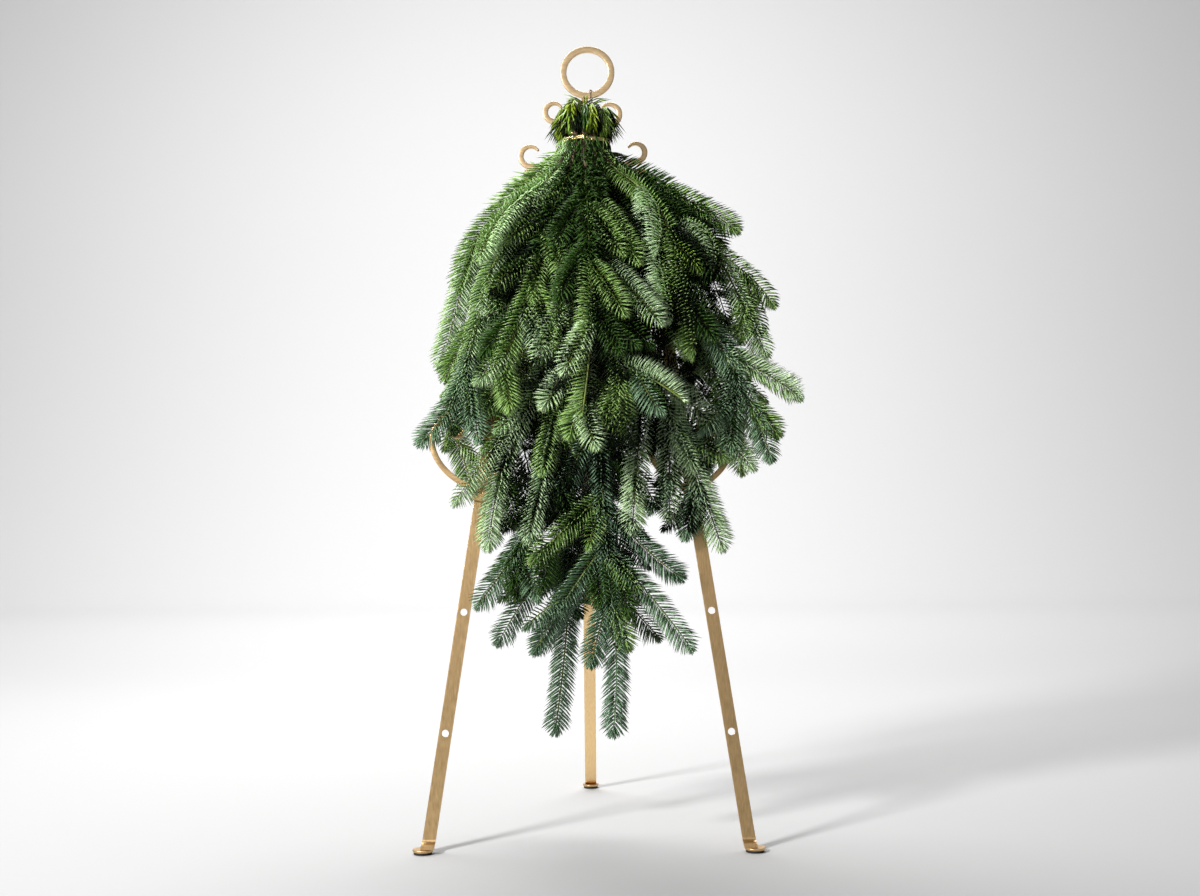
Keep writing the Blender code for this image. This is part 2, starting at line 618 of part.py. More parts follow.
class Blade:
    """A spray of needles as a toothed blade with a ridge and a keel along a curved stem."""

    def __init__(self, path, length, face, twist, stem, bare, pitch, reach):
        teeth = max(2, round((length - bare) / pitch))
        pitch = (length - bare) / (teeth + 0.5)
        toothed = bare + pitch * np.arange(teeth + 1)
        stations = np.concatenate(((0.0,), toothed)) if bare else toothed
        self.first = 1 if bare else 0
        self.share = stations / length
        self.centres = at(path, self.share)
        self.tip = path[-1]
        self.ahead, self.aside, self.facing = frames(path, self.share, face, twist)
        self.stem = stem[0] + (stem[1] - stem[0]) * self.share
        rise = np.clip((self.share - self.share[self.first]) / 0.12, 0, 1)
        self.ridge = np.maximum(self.stem, RIDGE * rise * (1 - 0.5 * self.share))
        self.pitch = pitch
        middle = (self.share[1:] + self.share[:-1]) / 2
        self.reach = reach * np.minimum(1, 0.62 + 2.5 * middle) * (1.08 - 0.30 * middle ** 3)
        self.keep = np.ones((len(self.reach), 2))
        lift = LIFT * rng.uniform(0.5, 1.1, (len(self.reach), 2))
        turns = np.arange(len(self.reach))[:, None] + np.array((0, 1))
        self.drift = np.where(turns % 2, -lift, lift) * reach / NEEDLE_REACH

    def solid(self, swell=0.0):
        """Vertices, triangles and, for each triangle, its stretch and side (-1 off a tooth)."""
        count = len(self.centres)
        wide = (self.stem + swell)[:, None] * self.aside
        tall = (self.ridge + swell)[:, None] * self.facing
        points = [p for k in range(count)
                  for p in (self.centres[k] + tall[k], self.centres[k] + wide[k],
                            self.centres[k] - tall[k], self.centres[k] - wide[k])]
        faces = [(0, 3, 2), (0, 2, 1)]
        marks = [(0, -1)] * 2
        for k in range(count - 1):
            a, b = 4 * k, 4 * (k + 1)
            if k < self.first:
                for near, far in ((0, 1), (1, 2), (2, 3), (3, 0)):
                    faces += [(a + near, a + far, b + far), (a + near, b + far, b + near)]
                    marks += [(k, -1)] * 2
                continue
            for side, valley in ((0, 1), (1, 3)):
                grow = self.reach[k] * self.keep[k, side]
                sign = 1 if side == 0 else -1
                root = self.centres[k] + (self.centres[k + 1] - self.centres[k]) * 0.45
                out = self.stem[k] + swell + grow * math.sin(NEEDLE_ANGLE)
                tip = (root + sign * out * self.aside[k]
                       + (grow * math.cos(NEEDLE_ANGLE) + swell) * self.ahead[k]
                       + self.drift[k, side] * self.keep[k, side] * self.facing[k])
                t = len(points)
                points.append(tip)
                new = [(a, a + valley, t), (a, t, b), (b, t, b + valley),
                       (a + 2, t, a + valley), (a + 2, b + 2, t), (b + 2, b + valley, t)]
                faces += new if side == 0 else [face[::-1] for face in new]
                marks += [(k, side)] * 6
        end = 4 * (count - 1)
        points.append(self.tip + self.ahead[-1] * (0.010 + swell))
        t = len(points) - 1
        faces += [(end, end + 1, t), (end + 1, end + 2, t), (end + 2, end + 3, t),
                  (end + 3, end, t)]
        marks += [(count - 2, -1)] * 4
        return np.array(points), faces, marks

    def shorten(self, count):
        """Ends the blade after this many stretches."""
        self.tip = self.centres[count] + self.ahead[count] * 0.002
        for name in ("centres", "ahead", "aside", "facing", "stem", "ridge", "share"):
            setattr(self, name, getattr(self, name)[:count + 1])
        for name in ("reach", "keep", "drift"):
            setattr(self, name, getattr(self, name)[:count])


class Space:
    """The solids placed so far, each under its owner's name."""

    def __init__(self):
        self.taken = []

    def add(self, owner, points, faces):
        tree = BVHTree.FromPolygons([tuple(p) for p in points], [tuple(f) for f in faces])
        self.taken.append((owner, np.min(points, axis=0), np.max(points, axis=0), tree))

    def add_object(self, obj):
        evaluated = obj.evaluated_get(bpy.context.evaluated_depsgraph_get())
        mesh = evaluated.to_mesh()
        points = np.array([obj.matrix_world @ v.co for v in mesh.vertices])
        self.add(obj.name, points, [tuple(p.vertices) for p in mesh.polygons])
        evaluated.to_mesh_clear()

    def hits(self, owner, points, faces):
        """The faces that cut another owner's solids, and those that cut the owner's own."""
        low, high = points.min(axis=0), points.max(axis=0)
        tree = BVHTree.FromPolygons([tuple(p) for p in points], faces)
        found = (set(), set())
        for name, other_low, other_high, other in self.taken:
            if (low <= other_high).all() and (high >= other_low).all():
                found[name == owner].update(pair[0] for pair in tree.overlap(other))
        return found


CLEARANCE = 0.0005
FEWEST = 2


def fit(blade, owner, space, stem=False):
    """Trims a blade's teeth where they touch a solid. False if a shoot's stem is blocked.

    A mass's own stem is never cut short. A shoot is cut short where another mass blocks it,
    and crosses its own mass with its stem alone.
    """
    for _ in range(60):
        points, faces, marks = blade.solid(CLEARANCE)
        others, own = space.hits(owner, points, faces)
        hit = {marks[face] for face in others}
        blocked = [k for k, side in hit if side < 0 or blade.keep[k, side] == 0]
        if blocked and not stem:
            count = min(min(blocked), len(blade.reach) - 1)
            if count < blade.first + FEWEST:
                return False
            blade.shorten(count)
            continue
        hit |= set() if stem else {marks[face] for face in own}
        teeth = [(k, side) for k, side in hit if side >= 0 and blade.keep[k, side] > 0]
        if not teeth:
            return True
        for k, side in teeth:
            kept = blade.keep[k, side]
            blade.keep[k, side] = kept * 0.62 if kept > 0.25 else 0.0
    return False


def shoot_path(bough, path, shoot):
    """A side shoot's path: it starts on the bough's centre line and droops, or curls as told."""
    where, lean, out, length = shoot[:4]
    curl = shoot[4] if len(shoot) > 4 else -0.25 * lean
    leans = (lean - curl / 2, lean, lean + curl / 2)
    return path_from(at(path, where), bough["face"], leans, (out, out, out / 2), length, 12)


def mesh_of(name, points, faces):
    mesh = bpy.data.meshes.new(name)
    mesh.from_pydata([tuple(p) for p in points], [], faces)
    mesh.update()
    return mesh


def joined(name, blades):
    """One mass of foliage: its stem's blade with every shoot's blade fused on."""
    body = place(name, mesh_of(name, *blades[0].solid()[:2]), NEEDLES, foot_line)
    if len(blades) == 1:
        return body
    helpers = bpy.data.collections.new(f"{name}_shoots")
    bpy.context.scene.collection.children.link(helpers)
    for index, blade in enumerate(blades[1:]):
        tool = bpy.data.objects.new(f"{name}_{index}",
                                    mesh_of(f"{name}_{index}", *blade.solid()[:2]))
        tool.parent = foot_line
        helpers.objects.link(tool)
    modifier = body.modifiers.new("fuse", "BOOLEAN")
    modifier.operation = "UNION"
    modifier.operand_type = "COLLECTION"
    modifier.collection = helpers
    modifier.solver = "MANIFOLD"
    bpy.context.view_layer.update()
    evaluated = body.evaluated_get(bpy.context.evaluated_depsgraph_get())
    fused = bpy.data.meshes.new_from_object(evaluated)
    body.modifiers.clear()
    body.data = fused
    for tool in list(helpers.objects):
        bpy.data.objects.remove(tool, do_unlink=True)
    bpy.data.collections.remove(helpers)
    return body


CORD_RADIUS = 0.0019
CORD_SEAT = 0.0012


def tie():
    """Three turns of gold cord round the neck, as one turned ring."""
    inner = OUTER_RING + OUTER_STEM + GAP
    profile = [(inner, 3 * CORD_RADIUS)]
    for turn in (2, 0, -2):
        for angle in (60, 0, -60):
            lift = math.radians(angle)
            profile.append((inner + CORD_SEAT + CORD_RADIUS * math.cos(lift),
                            CORD_RADIUS * (turn + 0.95 * math.sin(lift))))
    profile.append((inner, -3 * CORD_RADIUS))
    mesh = bpy.data.meshes.new("gold_tie")
    edges = [(k, (k + 1) % len(profile)) for k in range(len(profile))]
    mesh.from_pydata([(x, 0, z) for x, z in profile], edges, [])
    ring = place("gold_tie", mesh, GOLD_CORD, foot_line,
                 (0, BUNDLE_Y, TIE_HEIGHT - TIE_DROP))
    screw = ring.modifiers.new("turn", "SCREW")
    screw.steps = screw.render_steps = 24
    screw.use_merge_vertices = True
    screw.merge_threshold = 0.00001


TWINE_RADIUS = 0.0012
TWINE_HEIGHT = 1.000


def twine_loop():
    """A turn of twine round the neck, and from its back a loop over the ring's lower rim."""
    radius = OUTER_RING + OUTER_STEM + GAP + TWINE_RADIUS
    turns = np.linspace(0, 2 * math.pi, 25)[:-1]
    curve = tube_curve([(radius * math.cos(t), radius * math.sin(t), 0) for t in turns],
                       [TWINE_RADIUS] * len(turns), 6)
    curve.splines[0].use_cyclic_u = True
    band = to_mesh(place("twine_loop", curve, TWINE, foot_line, (0, BUNDLE_Y, TWINE_HEIGHT)))
    front, back = 0.0074, 0.0103
    rim = RING_CENTRE[1] - math.sqrt((RING_RADIUS - RING_BAND) ** 2
                                     - (back - RING_CENTRE[0]) ** 2)
    over = rim + GAP + 1.2 * TWINE_RADIUS
    depth = LEAN_BACK * over
    half = FLAT_WORK / 2 + 2 * TWINE_RADIUS
    low = BUNDLE_Y + math.sqrt(radius ** 2 - back ** 2)
    points = [(front, low, TWINE_HEIGHT), (front, low + 0.010, TWINE_HEIGHT + 0.030),
              (front, depth - half - 0.0010, over - 0.010), (front, depth - half * 0.8, over),
              ((front + back) / 2, depth, over + 0.0012), (back, depth + half * 0.8, over),
              (back, depth + half, over - 0.010), (back, depth - 0.001, over - 0.022),
              (back, low + 0.006, TWINE_HEIGHT + 0.014), (back, low, TWINE_HEIGHT)]
    loop = to_mesh(place("loop", tube_curve(points, [TWINE_RADIUS] * len(points), 6), TWINE,
                         foot_line))
    move_to_cutters(loop)
    boolean(band, loop, "UNION")


def tuft(space):
    """The head of needles over the butts: short sprays that fold outwards and down."""
    path = np.array(((0, BUNDLE_Y, TIE_HEIGHT - 0.03),
                     (0, BUNDLE_Y, TIE_HEIGHT + INNER_BUTT + 0.008)))
    sprig = to_mesh(place("bough_tuft", tube_curve(path, (INNER_STEM * 0.9, INNER_STEM), 8),
                          BARK, foot_line))
    bpy.context.view_layer.update()
    space.add_object(sprig)
    start = path[1] + np.array((0, 0, GAP))
    top = start + np.array((0, 0, 0.012))
    stem = Blade(np.linspace(start, top, 5), 0.012, 0, 0, (0.0045, 0.0035), 0.0, 0.006, 0.001)
    blades = [stem]
    for index in range(TUFT_SPRAYS):
        face = 360 * (index + rng.uniform(-0.25, 0.25)) / TUFT_SPRAYS
        length = TUFT_LENGTH * rng.uniform(0.78, 1.08)
        root = start + np.array((0, 0, rng.uniform(0.004, 0.010)))
        curve = path_from(root, face, (0, rng.uniform(-25, 25)), TUFT_OUTS, length, 12)
        blade = Blade(curve, length, face, 0.0, (0.0012, 0.0008), 0.010, TUFT_PITCH,
                      TUFT_REACH)
        if fit(blade, "foliage_tuft", space):
            blades.append(blade)
            space.add("foliage_tuft", *blade.solid()[:2])
    return joined("foliage_tuft", blades)


def build_swag():
    space = Space()
    tie()
    twine_loop()
    paths = {name: bough_path(bough) for name, bough in BOUGHS.items()}
    for name, bough in BOUGHS.items():
        limb(name, paths[name], bough)
    bpy.context.view_layer.update()
    for obj in parts.objects:
        if obj.type != "EMPTY":
            space.add_object(obj)
    axes = {}
    for name, bough in BOUGHS.items():
        cut = OUTER_LIMB if bough["ring"] == OUTER_RING else INNER_LIMB
        start = (cut + GAP) / bough["length"]
        length = bough["length"] * (1 - start)
        path = at(paths[name], np.linspace(start, 1, 81))
        axis = Blade(path, length, bough["face"], 0.0, (STEM_START, STEM_TIP), 0.0,
                     TOOTH_PITCH, NEEDLE_REACH)
        axes[name] = axis
        axis.keep[:] = 0
        space.add(f"foliage_{name}", *axis.solid()[:2])
        axis.keep[:] = 1
    blades = {}
    for name, axis in axes.items():
        owner = f"foliage_{name}"
        fit(axis, owner, space, stem=True)
        space.add(owner, *axis.solid()[:2])
        blades[name] = [axis]
    for name, bough in BOUGHS.items():
        owner = f"foliage_{name}"
        for shoot in bough["shoots"]:
            path = shoot_path(bough, paths[name], shoot)
            girth = STEM_START + (STEM_TIP - STEM_START) * shoot[0]
            blade = Blade(path, shoot[3], bough["face"], rng.uniform(-0.5, 0.5),
                          (0.55 * girth, 0.8 * STEM_TIP), 0.014, TOOTH_PITCH, NEEDLE_REACH)
            if fit(blade, owner, space):
                space.add(owner, *blade.solid()[:2])
                blades[name].append(blade)
    for name in BOUGHS:
        joined(f"foliage_{name}", blades[name])
    tuft(space)


build_easel()
build_swag()
foot_line.location = (-MIDDLE_X, -MIDDLE_Y, 0)
bpy.context.view_layer.update()
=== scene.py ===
import math

import bmesh
import bpy
import numpy as np
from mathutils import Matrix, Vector


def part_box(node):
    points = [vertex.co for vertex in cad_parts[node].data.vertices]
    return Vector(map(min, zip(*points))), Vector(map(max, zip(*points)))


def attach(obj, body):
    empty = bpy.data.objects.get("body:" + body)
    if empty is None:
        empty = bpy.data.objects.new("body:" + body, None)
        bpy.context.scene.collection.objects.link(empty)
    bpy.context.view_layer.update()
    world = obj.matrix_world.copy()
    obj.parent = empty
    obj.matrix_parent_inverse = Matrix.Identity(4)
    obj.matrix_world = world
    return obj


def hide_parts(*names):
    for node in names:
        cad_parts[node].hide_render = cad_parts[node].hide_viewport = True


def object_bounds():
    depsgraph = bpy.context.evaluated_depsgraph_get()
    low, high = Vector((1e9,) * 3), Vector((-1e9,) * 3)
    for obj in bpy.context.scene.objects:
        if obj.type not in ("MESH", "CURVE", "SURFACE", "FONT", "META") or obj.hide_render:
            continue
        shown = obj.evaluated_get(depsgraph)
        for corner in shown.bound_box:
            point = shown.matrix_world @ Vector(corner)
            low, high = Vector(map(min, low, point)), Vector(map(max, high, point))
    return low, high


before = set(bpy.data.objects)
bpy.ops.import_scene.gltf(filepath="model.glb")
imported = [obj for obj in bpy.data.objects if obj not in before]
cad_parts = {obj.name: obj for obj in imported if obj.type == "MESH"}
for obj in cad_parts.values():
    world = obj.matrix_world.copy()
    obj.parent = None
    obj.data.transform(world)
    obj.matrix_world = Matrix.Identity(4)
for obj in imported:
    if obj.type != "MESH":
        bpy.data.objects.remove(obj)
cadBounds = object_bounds()
cadLow, cadHigh = np.array(cadBounds[0]), np.array(cadBounds[1])
rng = np.random.default_rng(11)

# The easel's front line: the middle between the two front feet, on the floor.
footLeft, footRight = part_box("foot_left"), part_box("foot_right")
toeForward = 0.008
frontLine = np.array(((footLeft[0][0] + footRight[1][0]) / 2,
                      (footLeft[0][1] + footLeft[1][1]) / 2 + toeForward, 0.0))
leanBack = 0.14
leanAngle = math.atan(leanBack)
planeUp = np.array((0, math.sin(leanAngle), math.cos(leanAngle)))
planeFront = np.array((0, -math.cos(leanAngle), math.sin(leanAngle)))
planeRight = np.array((1.0, 0, 0))
down = np.array((0, 0, -1.0))
print("frame loaded, front line at", frontLine.round(4))

# Camera: level, with a slight roll, as the photo was taken
camera = {"right": 0.0185, "back": 2.253, "height": 0.545, "focalPixels": 1667,
          "imageWidth": 1200, "sensor": 36.0, "roll": 0.007}


def makeCamera():
    data = bpy.data.cameras.new("camera")
    data.sensor_width = camera["sensor"]
    data.lens = camera["focalPixels"] / camera["imageWidth"] * camera["sensor"]
    made = bpy.data.objects.new("camera", data)
    made.location = frontLine + np.array((camera["right"], -camera["back"], camera["height"]))
    made.rotation_euler = (math.pi / 2, camera["roll"], 0)
    bpy.context.scene.collection.objects.link(made)
    bpy.context.scene.camera = made


makeCamera()
bpy.context.scene.view_settings.view_transform = "Standard"

# Materials


def principled(name, colour, roughness, metallic=0.0, **sockets):
    made = bpy.data.materials.new(name)
    made.use_nodes = True
    shader = made.node_tree.nodes["Principled BSDF"]
    shader.inputs["Base Color"].default_value = (*colour, 1)
    shader.inputs["Roughness"].default_value = roughness
    shader.inputs["Metallic"].default_value = metallic
    for socket, value in sockets.items():
        shader.inputs[socket.replace("_", " ")].default_value = value
    return made


def addNode(material, kind, **values):
    node = material.node_tree.nodes.new(kind)
    for key, value in values.items():
        node.inputs[key].default_value = value
    return node


def noiseOn(material, stretch, scale, detail=4.0):
    # object coordinates, stretched, into a noise texture
    tree = material.node_tree
    place = addNode(material, "ShaderNodeTexCoord")
    turn = addNode(material, "ShaderNodeMapping", Scale=stretch)
    noise = addNode(material, "ShaderNodeTexNoise", Scale=scale, Detail=detail)
    tree.links.new(place.outputs["Object"], turn.inputs["Vector"])
    tree.links.new(turn.outputs["Vector"], noise.inputs["Vector"])
    return noise


def tint(material, noise, low, high, darkColour, lightColour):
    # the base colour runs from dark to light as the noise goes from low to high
    tree = material.node_tree
    ramp = addNode(material, "ShaderNodeValToRGB")
    for element, position, colour in zip(ramp.color_ramp.elements, (low, high),
                                         (darkColour, lightColour)):
        element.position = position
        element.color = (*colour, 1)
    tree.links.new(noise.outputs["Fac"], ramp.inputs["Fac"])
    tree.links.new(ramp.outputs["Color"], tree.nodes["Principled BSDF"].inputs["Base Color"])


def relief(material, noise, strength, distance):
    tree = material.node_tree
    bump = addNode(material, "ShaderNodeBump", Strength=strength, Distance=distance)
    tree.links.new(noise.outputs["Fac"], bump.inputs["Height"])
    tree.links.new(bump.outputs["Normal"], tree.nodes["Principled BSDF"].inputs["Normal"])


def roughen(material, noise, low, high):
    tree = material.node_tree
    spread = addNode(material, "ShaderNodeMapRange")
    spread.inputs["To Min"].default_value = low
    spread.inputs["To Max"].default_value = high
    tree.links.new(noise.outputs["Fac"], spread.inputs["Value"])
    tree.links.new(spread.outputs["Result"], tree.nodes["Principled BSDF"].inputs["Roughness"])


brassLook = {"dark": (0.54, 0.36, 0.165), "light": (0.73, 0.50, 0.26), "brushScale": 60.0,
             "rearLitDark": (0.86, 0.60, 0.30), "rearLitLight": (1.0, 0.73, 0.39),
             "topLitDark": (0.62, 0.44, 0.24), "topLitLight": (0.82, 0.61, 0.36)}


def makeBrass(name, stretch, dark=brassLook["dark"], light=brassLook["light"]):
    made = principled(name, light, 0.36, 1.0)
    grain = noiseOn(made, stretch, brassLook["brushScale"])
    tint(made, grain, 0.25, 0.8, dark, light)
    roughen(made, grain, 0.30, 0.46)
    relief(made, grain, 0.12, 0.0002)
    return made


brassUpright = makeBrass("brassUpright", (10.0, 10.0, 0.5))
brassAcross = makeBrass("brassAcross", (2.0, 10.0, 10.0))
# The rear leg's brass is a lighter copy of the same brass: painted light for the light that leg
# catches.
brassRearLit = makeBrass("brassRearLit", (10.0, 10.0, 0.5), brassLook["rearLitDark"],
                      brassLook["rearLitLight"])
# The ring's and curls' brass is a lighter copy of the same brass: painted light.
brassTopLit = makeBrass("brassTopLit", (2.0, 10.0, 10.0), brassLook["topLitDark"], brassLook["topLitLight"])

rubber = principled("rubberPad", (0.015, 0.015, 0.015), 0.8)
relief(rubber, noiseOn(rubber, (1, 1, 1), 900.0), 0.3, 0.0002)

bark = principled("bark", (0.12, 0.08, 0.045), 0.8)
barkGrain = noiseOn(bark, (6, 6, 1), 160.0)
tint(bark, barkGrain, 0.3, 0.75, (0.055, 0.035, 0.02), (0.20, 0.14, 0.075))
relief(bark, barkGrain, 0.5, 0.0006)

cutWood = principled("cutWood", (0.55, 0.40, 0.22), 0.75)
tint(cutWood, noiseOn(cutWood, (1, 1, 0.2), 700.0), 0.3, 0.8, (0.36, 0.24, 0.12),
     (0.66, 0.5, 0.3))

twigBark = principled("twigBark", (0.16, 0.17, 0.03), 0.6)
tint(twigBark, noiseOn(twigBark, (1, 1, 1), 220.0), 0.3, 0.75, (0.07, 0.11, 0.015),
     (0.19, 0.22, 0.03))

# near-black twig material for shoots in the shade tones: painted shade
twigShade = principled("twigShade", (0.012, 0.014, 0.004), 0.8)

budScale = principled("budScale", (0.36, 0.15, 0.05), 0.5)
tint(budScale, noiseOn(budScale, (1, 1, 1), 900.0), 0.3, 0.7, (0.22, 0.08, 0.03),
     (0.52, 0.26, 0.09))

goldThread = principled("goldThread", (0.85, 0.62, 0.22), 0.28, 1.0)
goldGrain = noiseOn(goldThread, (1, 1, 1), 1400.0)
tint(goldThread, goldGrain, 0.3, 0.7, (0.66, 0.46, 0.14), (1.0, 0.86, 0.50))
relief(goldThread, goldGrain, 0.6, 0.0004)

twineFibre = principled("twineFibre", (0.32, 0.19, 0.10), 0.9)
fibreGrain = noiseOn(twineFibre, (1, 1, 1), 1800.0)
tint(twineFibre, fibreGrain, 0.3, 0.7, (0.26, 0.15, 0.09), (0.56, 0.38, 0.27))
relief(twineFibre, fibreGrain, 0.7, 0.0004)

# Needle tones, dealt out by spray: fresh at the top and middle, blue lower down. All are plain
# base colours. A needle's heel is yellower than its blade. The near-black tone and its heel are
# painted shade, for shoots buried behind others; deep is a dark green used as painted shade; the
# dark blue tone is blue darkened as painted shade on the tail; pale is the frost bloom lightened
# further, as painted light on the left arch.
needleTones = {
    "fresh": (0.215, 0.360, 0.040),
    "leaf": (0.240, 0.395, 0.100),
    "deep": (0.032, 0.080, 0.010),
    "blue": (0.185, 0.310, 0.172),
    "frost": (0.440, 0.600, 0.330),
    "old": (0.002, 0.006, 0.001),
    "heel": (0.180, 0.250, 0.020),
    "oldHeel": (0.006, 0.014, 0.003),
    "young": (0.230, 0.325, 0.012),
    "pale": (0.570, 0.790, 0.400),
    "duskShade": (0.102, 0.188, 0.102),
}
toneNames = list(needleTones)
heelOf = {"old": "oldHeel", "deep": "oldHeel"}
# the darker tone that needles on a shoot's hidden underside take instead of their own: painted
# shade
shadedTone = {"fresh": "deep", "leaf": "deep", "frost": "leaf", "blue": "deep", "young": "deep",
              "pale": "leaf", "duskShade": "deep"}
needleSheen = {"old": (0.5, 0.1), "oldHeel": (0.5, 0.1), "deep": (0.4, 0.4), "young": (0.4, 0.4)}
needleMaterials = []
for name, colour in needleTones.items():
    roughness, sheen = needleSheen.get(name, (0.30, 0.8))
    needleMaterials.append(principled(f"needles_{name}", colour, roughness,
                                      Specular_IOR_Level=sheen))
print("materials made")

# Meshes from arrays


def meshObject(name, vertices, loops, sizes, materials, slots):
    # vertices (n, 3); loops is every face's corners in a row, sizes their counts
    mesh = bpy.data.meshes.new(name)
    mesh.vertices.add(len(vertices))
    mesh.vertices.foreach_set("co", np.ascontiguousarray(vertices, np.float32).ravel())
    mesh.loops.add(len(loops))
    mesh.loops.foreach_set("vertex_index", np.ascontiguousarray(loops, np.int32))
    mesh.polygons.add(len(sizes))
    starts = np.concatenate(((0,), np.cumsum(sizes)[:-1])).astype(np.int32)
    mesh.polygons.foreach_set("loop_start", starts)
    for material in materials:
        mesh.materials.append(material)
    mesh.polygons.foreach_set("material_index", np.ascontiguousarray(slots, np.int32))
    mesh.polygons.foreach_set("use_smooth", np.full(len(sizes), True))
    mesh.update(calc_edges=True)
    mesh.validate()
    made = bpy.data.objects.new(name, mesh)
    bpy.context.scene.collection.objects.link(made)
    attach(made, "root")
    return made


class Pile:
    # Meshes laid one after another, to be joined into one piece.
    def __init__(self):
        self.vertices, self.loops, self.sizes, self.slots, self.count = [], [], [], [], 0

    def add(self, vertices, loops, sizes, slot=0):
        self.vertices.append(vertices)
        self.loops.append(loops + self.count)
        self.sizes.append(sizes)
        self.slots.append(np.broadcast_to(slot, len(sizes)))
        self.count += len(vertices)

    def piece(self, name, materials, slot, *nodes):
        made = meshObject(name, np.vstack(self.vertices), np.concatenate(self.loops),
                          np.concatenate(self.sizes), materials, np.concatenate(self.slots))
        if nodes:
            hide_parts(*nodes)
        return made


def unit(vectors):
    return vectors / np.linalg.norm(vectors, axis=-1, keepdims=True)


def at(path, share):
    # points at these shares of a path made of equal strides
    index = np.arange(len(path)) / (len(path) - 1)
    return np.stack([np.interp(share, index, path[:, axis]) for axis in range(3)], axis=-1)


def gridFaces(rows, columns):
    # quads of a grid that closes round its columns, then a fan at each end to two added poles
    row, column = np.meshgrid(np.arange(rows - 1), np.arange(columns), indexing="ij")
    after = (column + 1) % columns
    quads = np.stack((row * columns + column, row * columns + after,
                      (row + 1) * columns + after, (row + 1) * columns + column), axis=-1)
    ring = np.arange(columns)
    following = (ring + 1) % columns
    first = np.stack((np.full(columns, rows * columns), following, ring), axis=-1)
    base = (rows - 1) * columns
    last = np.stack((np.full(columns, rows * columns + 1), base + ring, base + following), axis=-1)
    loops = np.concatenate((quads.ravel(), first.ravel(), last.ravel()))
    sizes = np.concatenate((np.full((rows - 1) * columns, 4), np.full(2 * columns, 3)))
    return loops, sizes


def carried(path, reach, columns, guide):
    # A section carried along a path: point (i, j) lies reach[i, j] from path[i], turned by
    # 2 pi j / columns from the guide towards the path's left.
    ahead = unit(np.gradient(path, axis=0))
    side = unit(np.cross(ahead, np.broadcast_to(guide, path.shape)))
    over = np.cross(side, ahead)
    turns = np.arange(columns) / columns * 2 * math.pi
    spokes = (np.cos(turns)[None, :, None] * over[:, None, :]
              + np.sin(turns)[None, :, None] * side[:, None, :])
    points = (path[:, None, :] + reach[:, :, None] * spokes).reshape(-1, 3)
    loops, sizes = gridFaces(len(path), columns)
    return np.vstack((points, path[:1], path[-1:])), loops, sizes


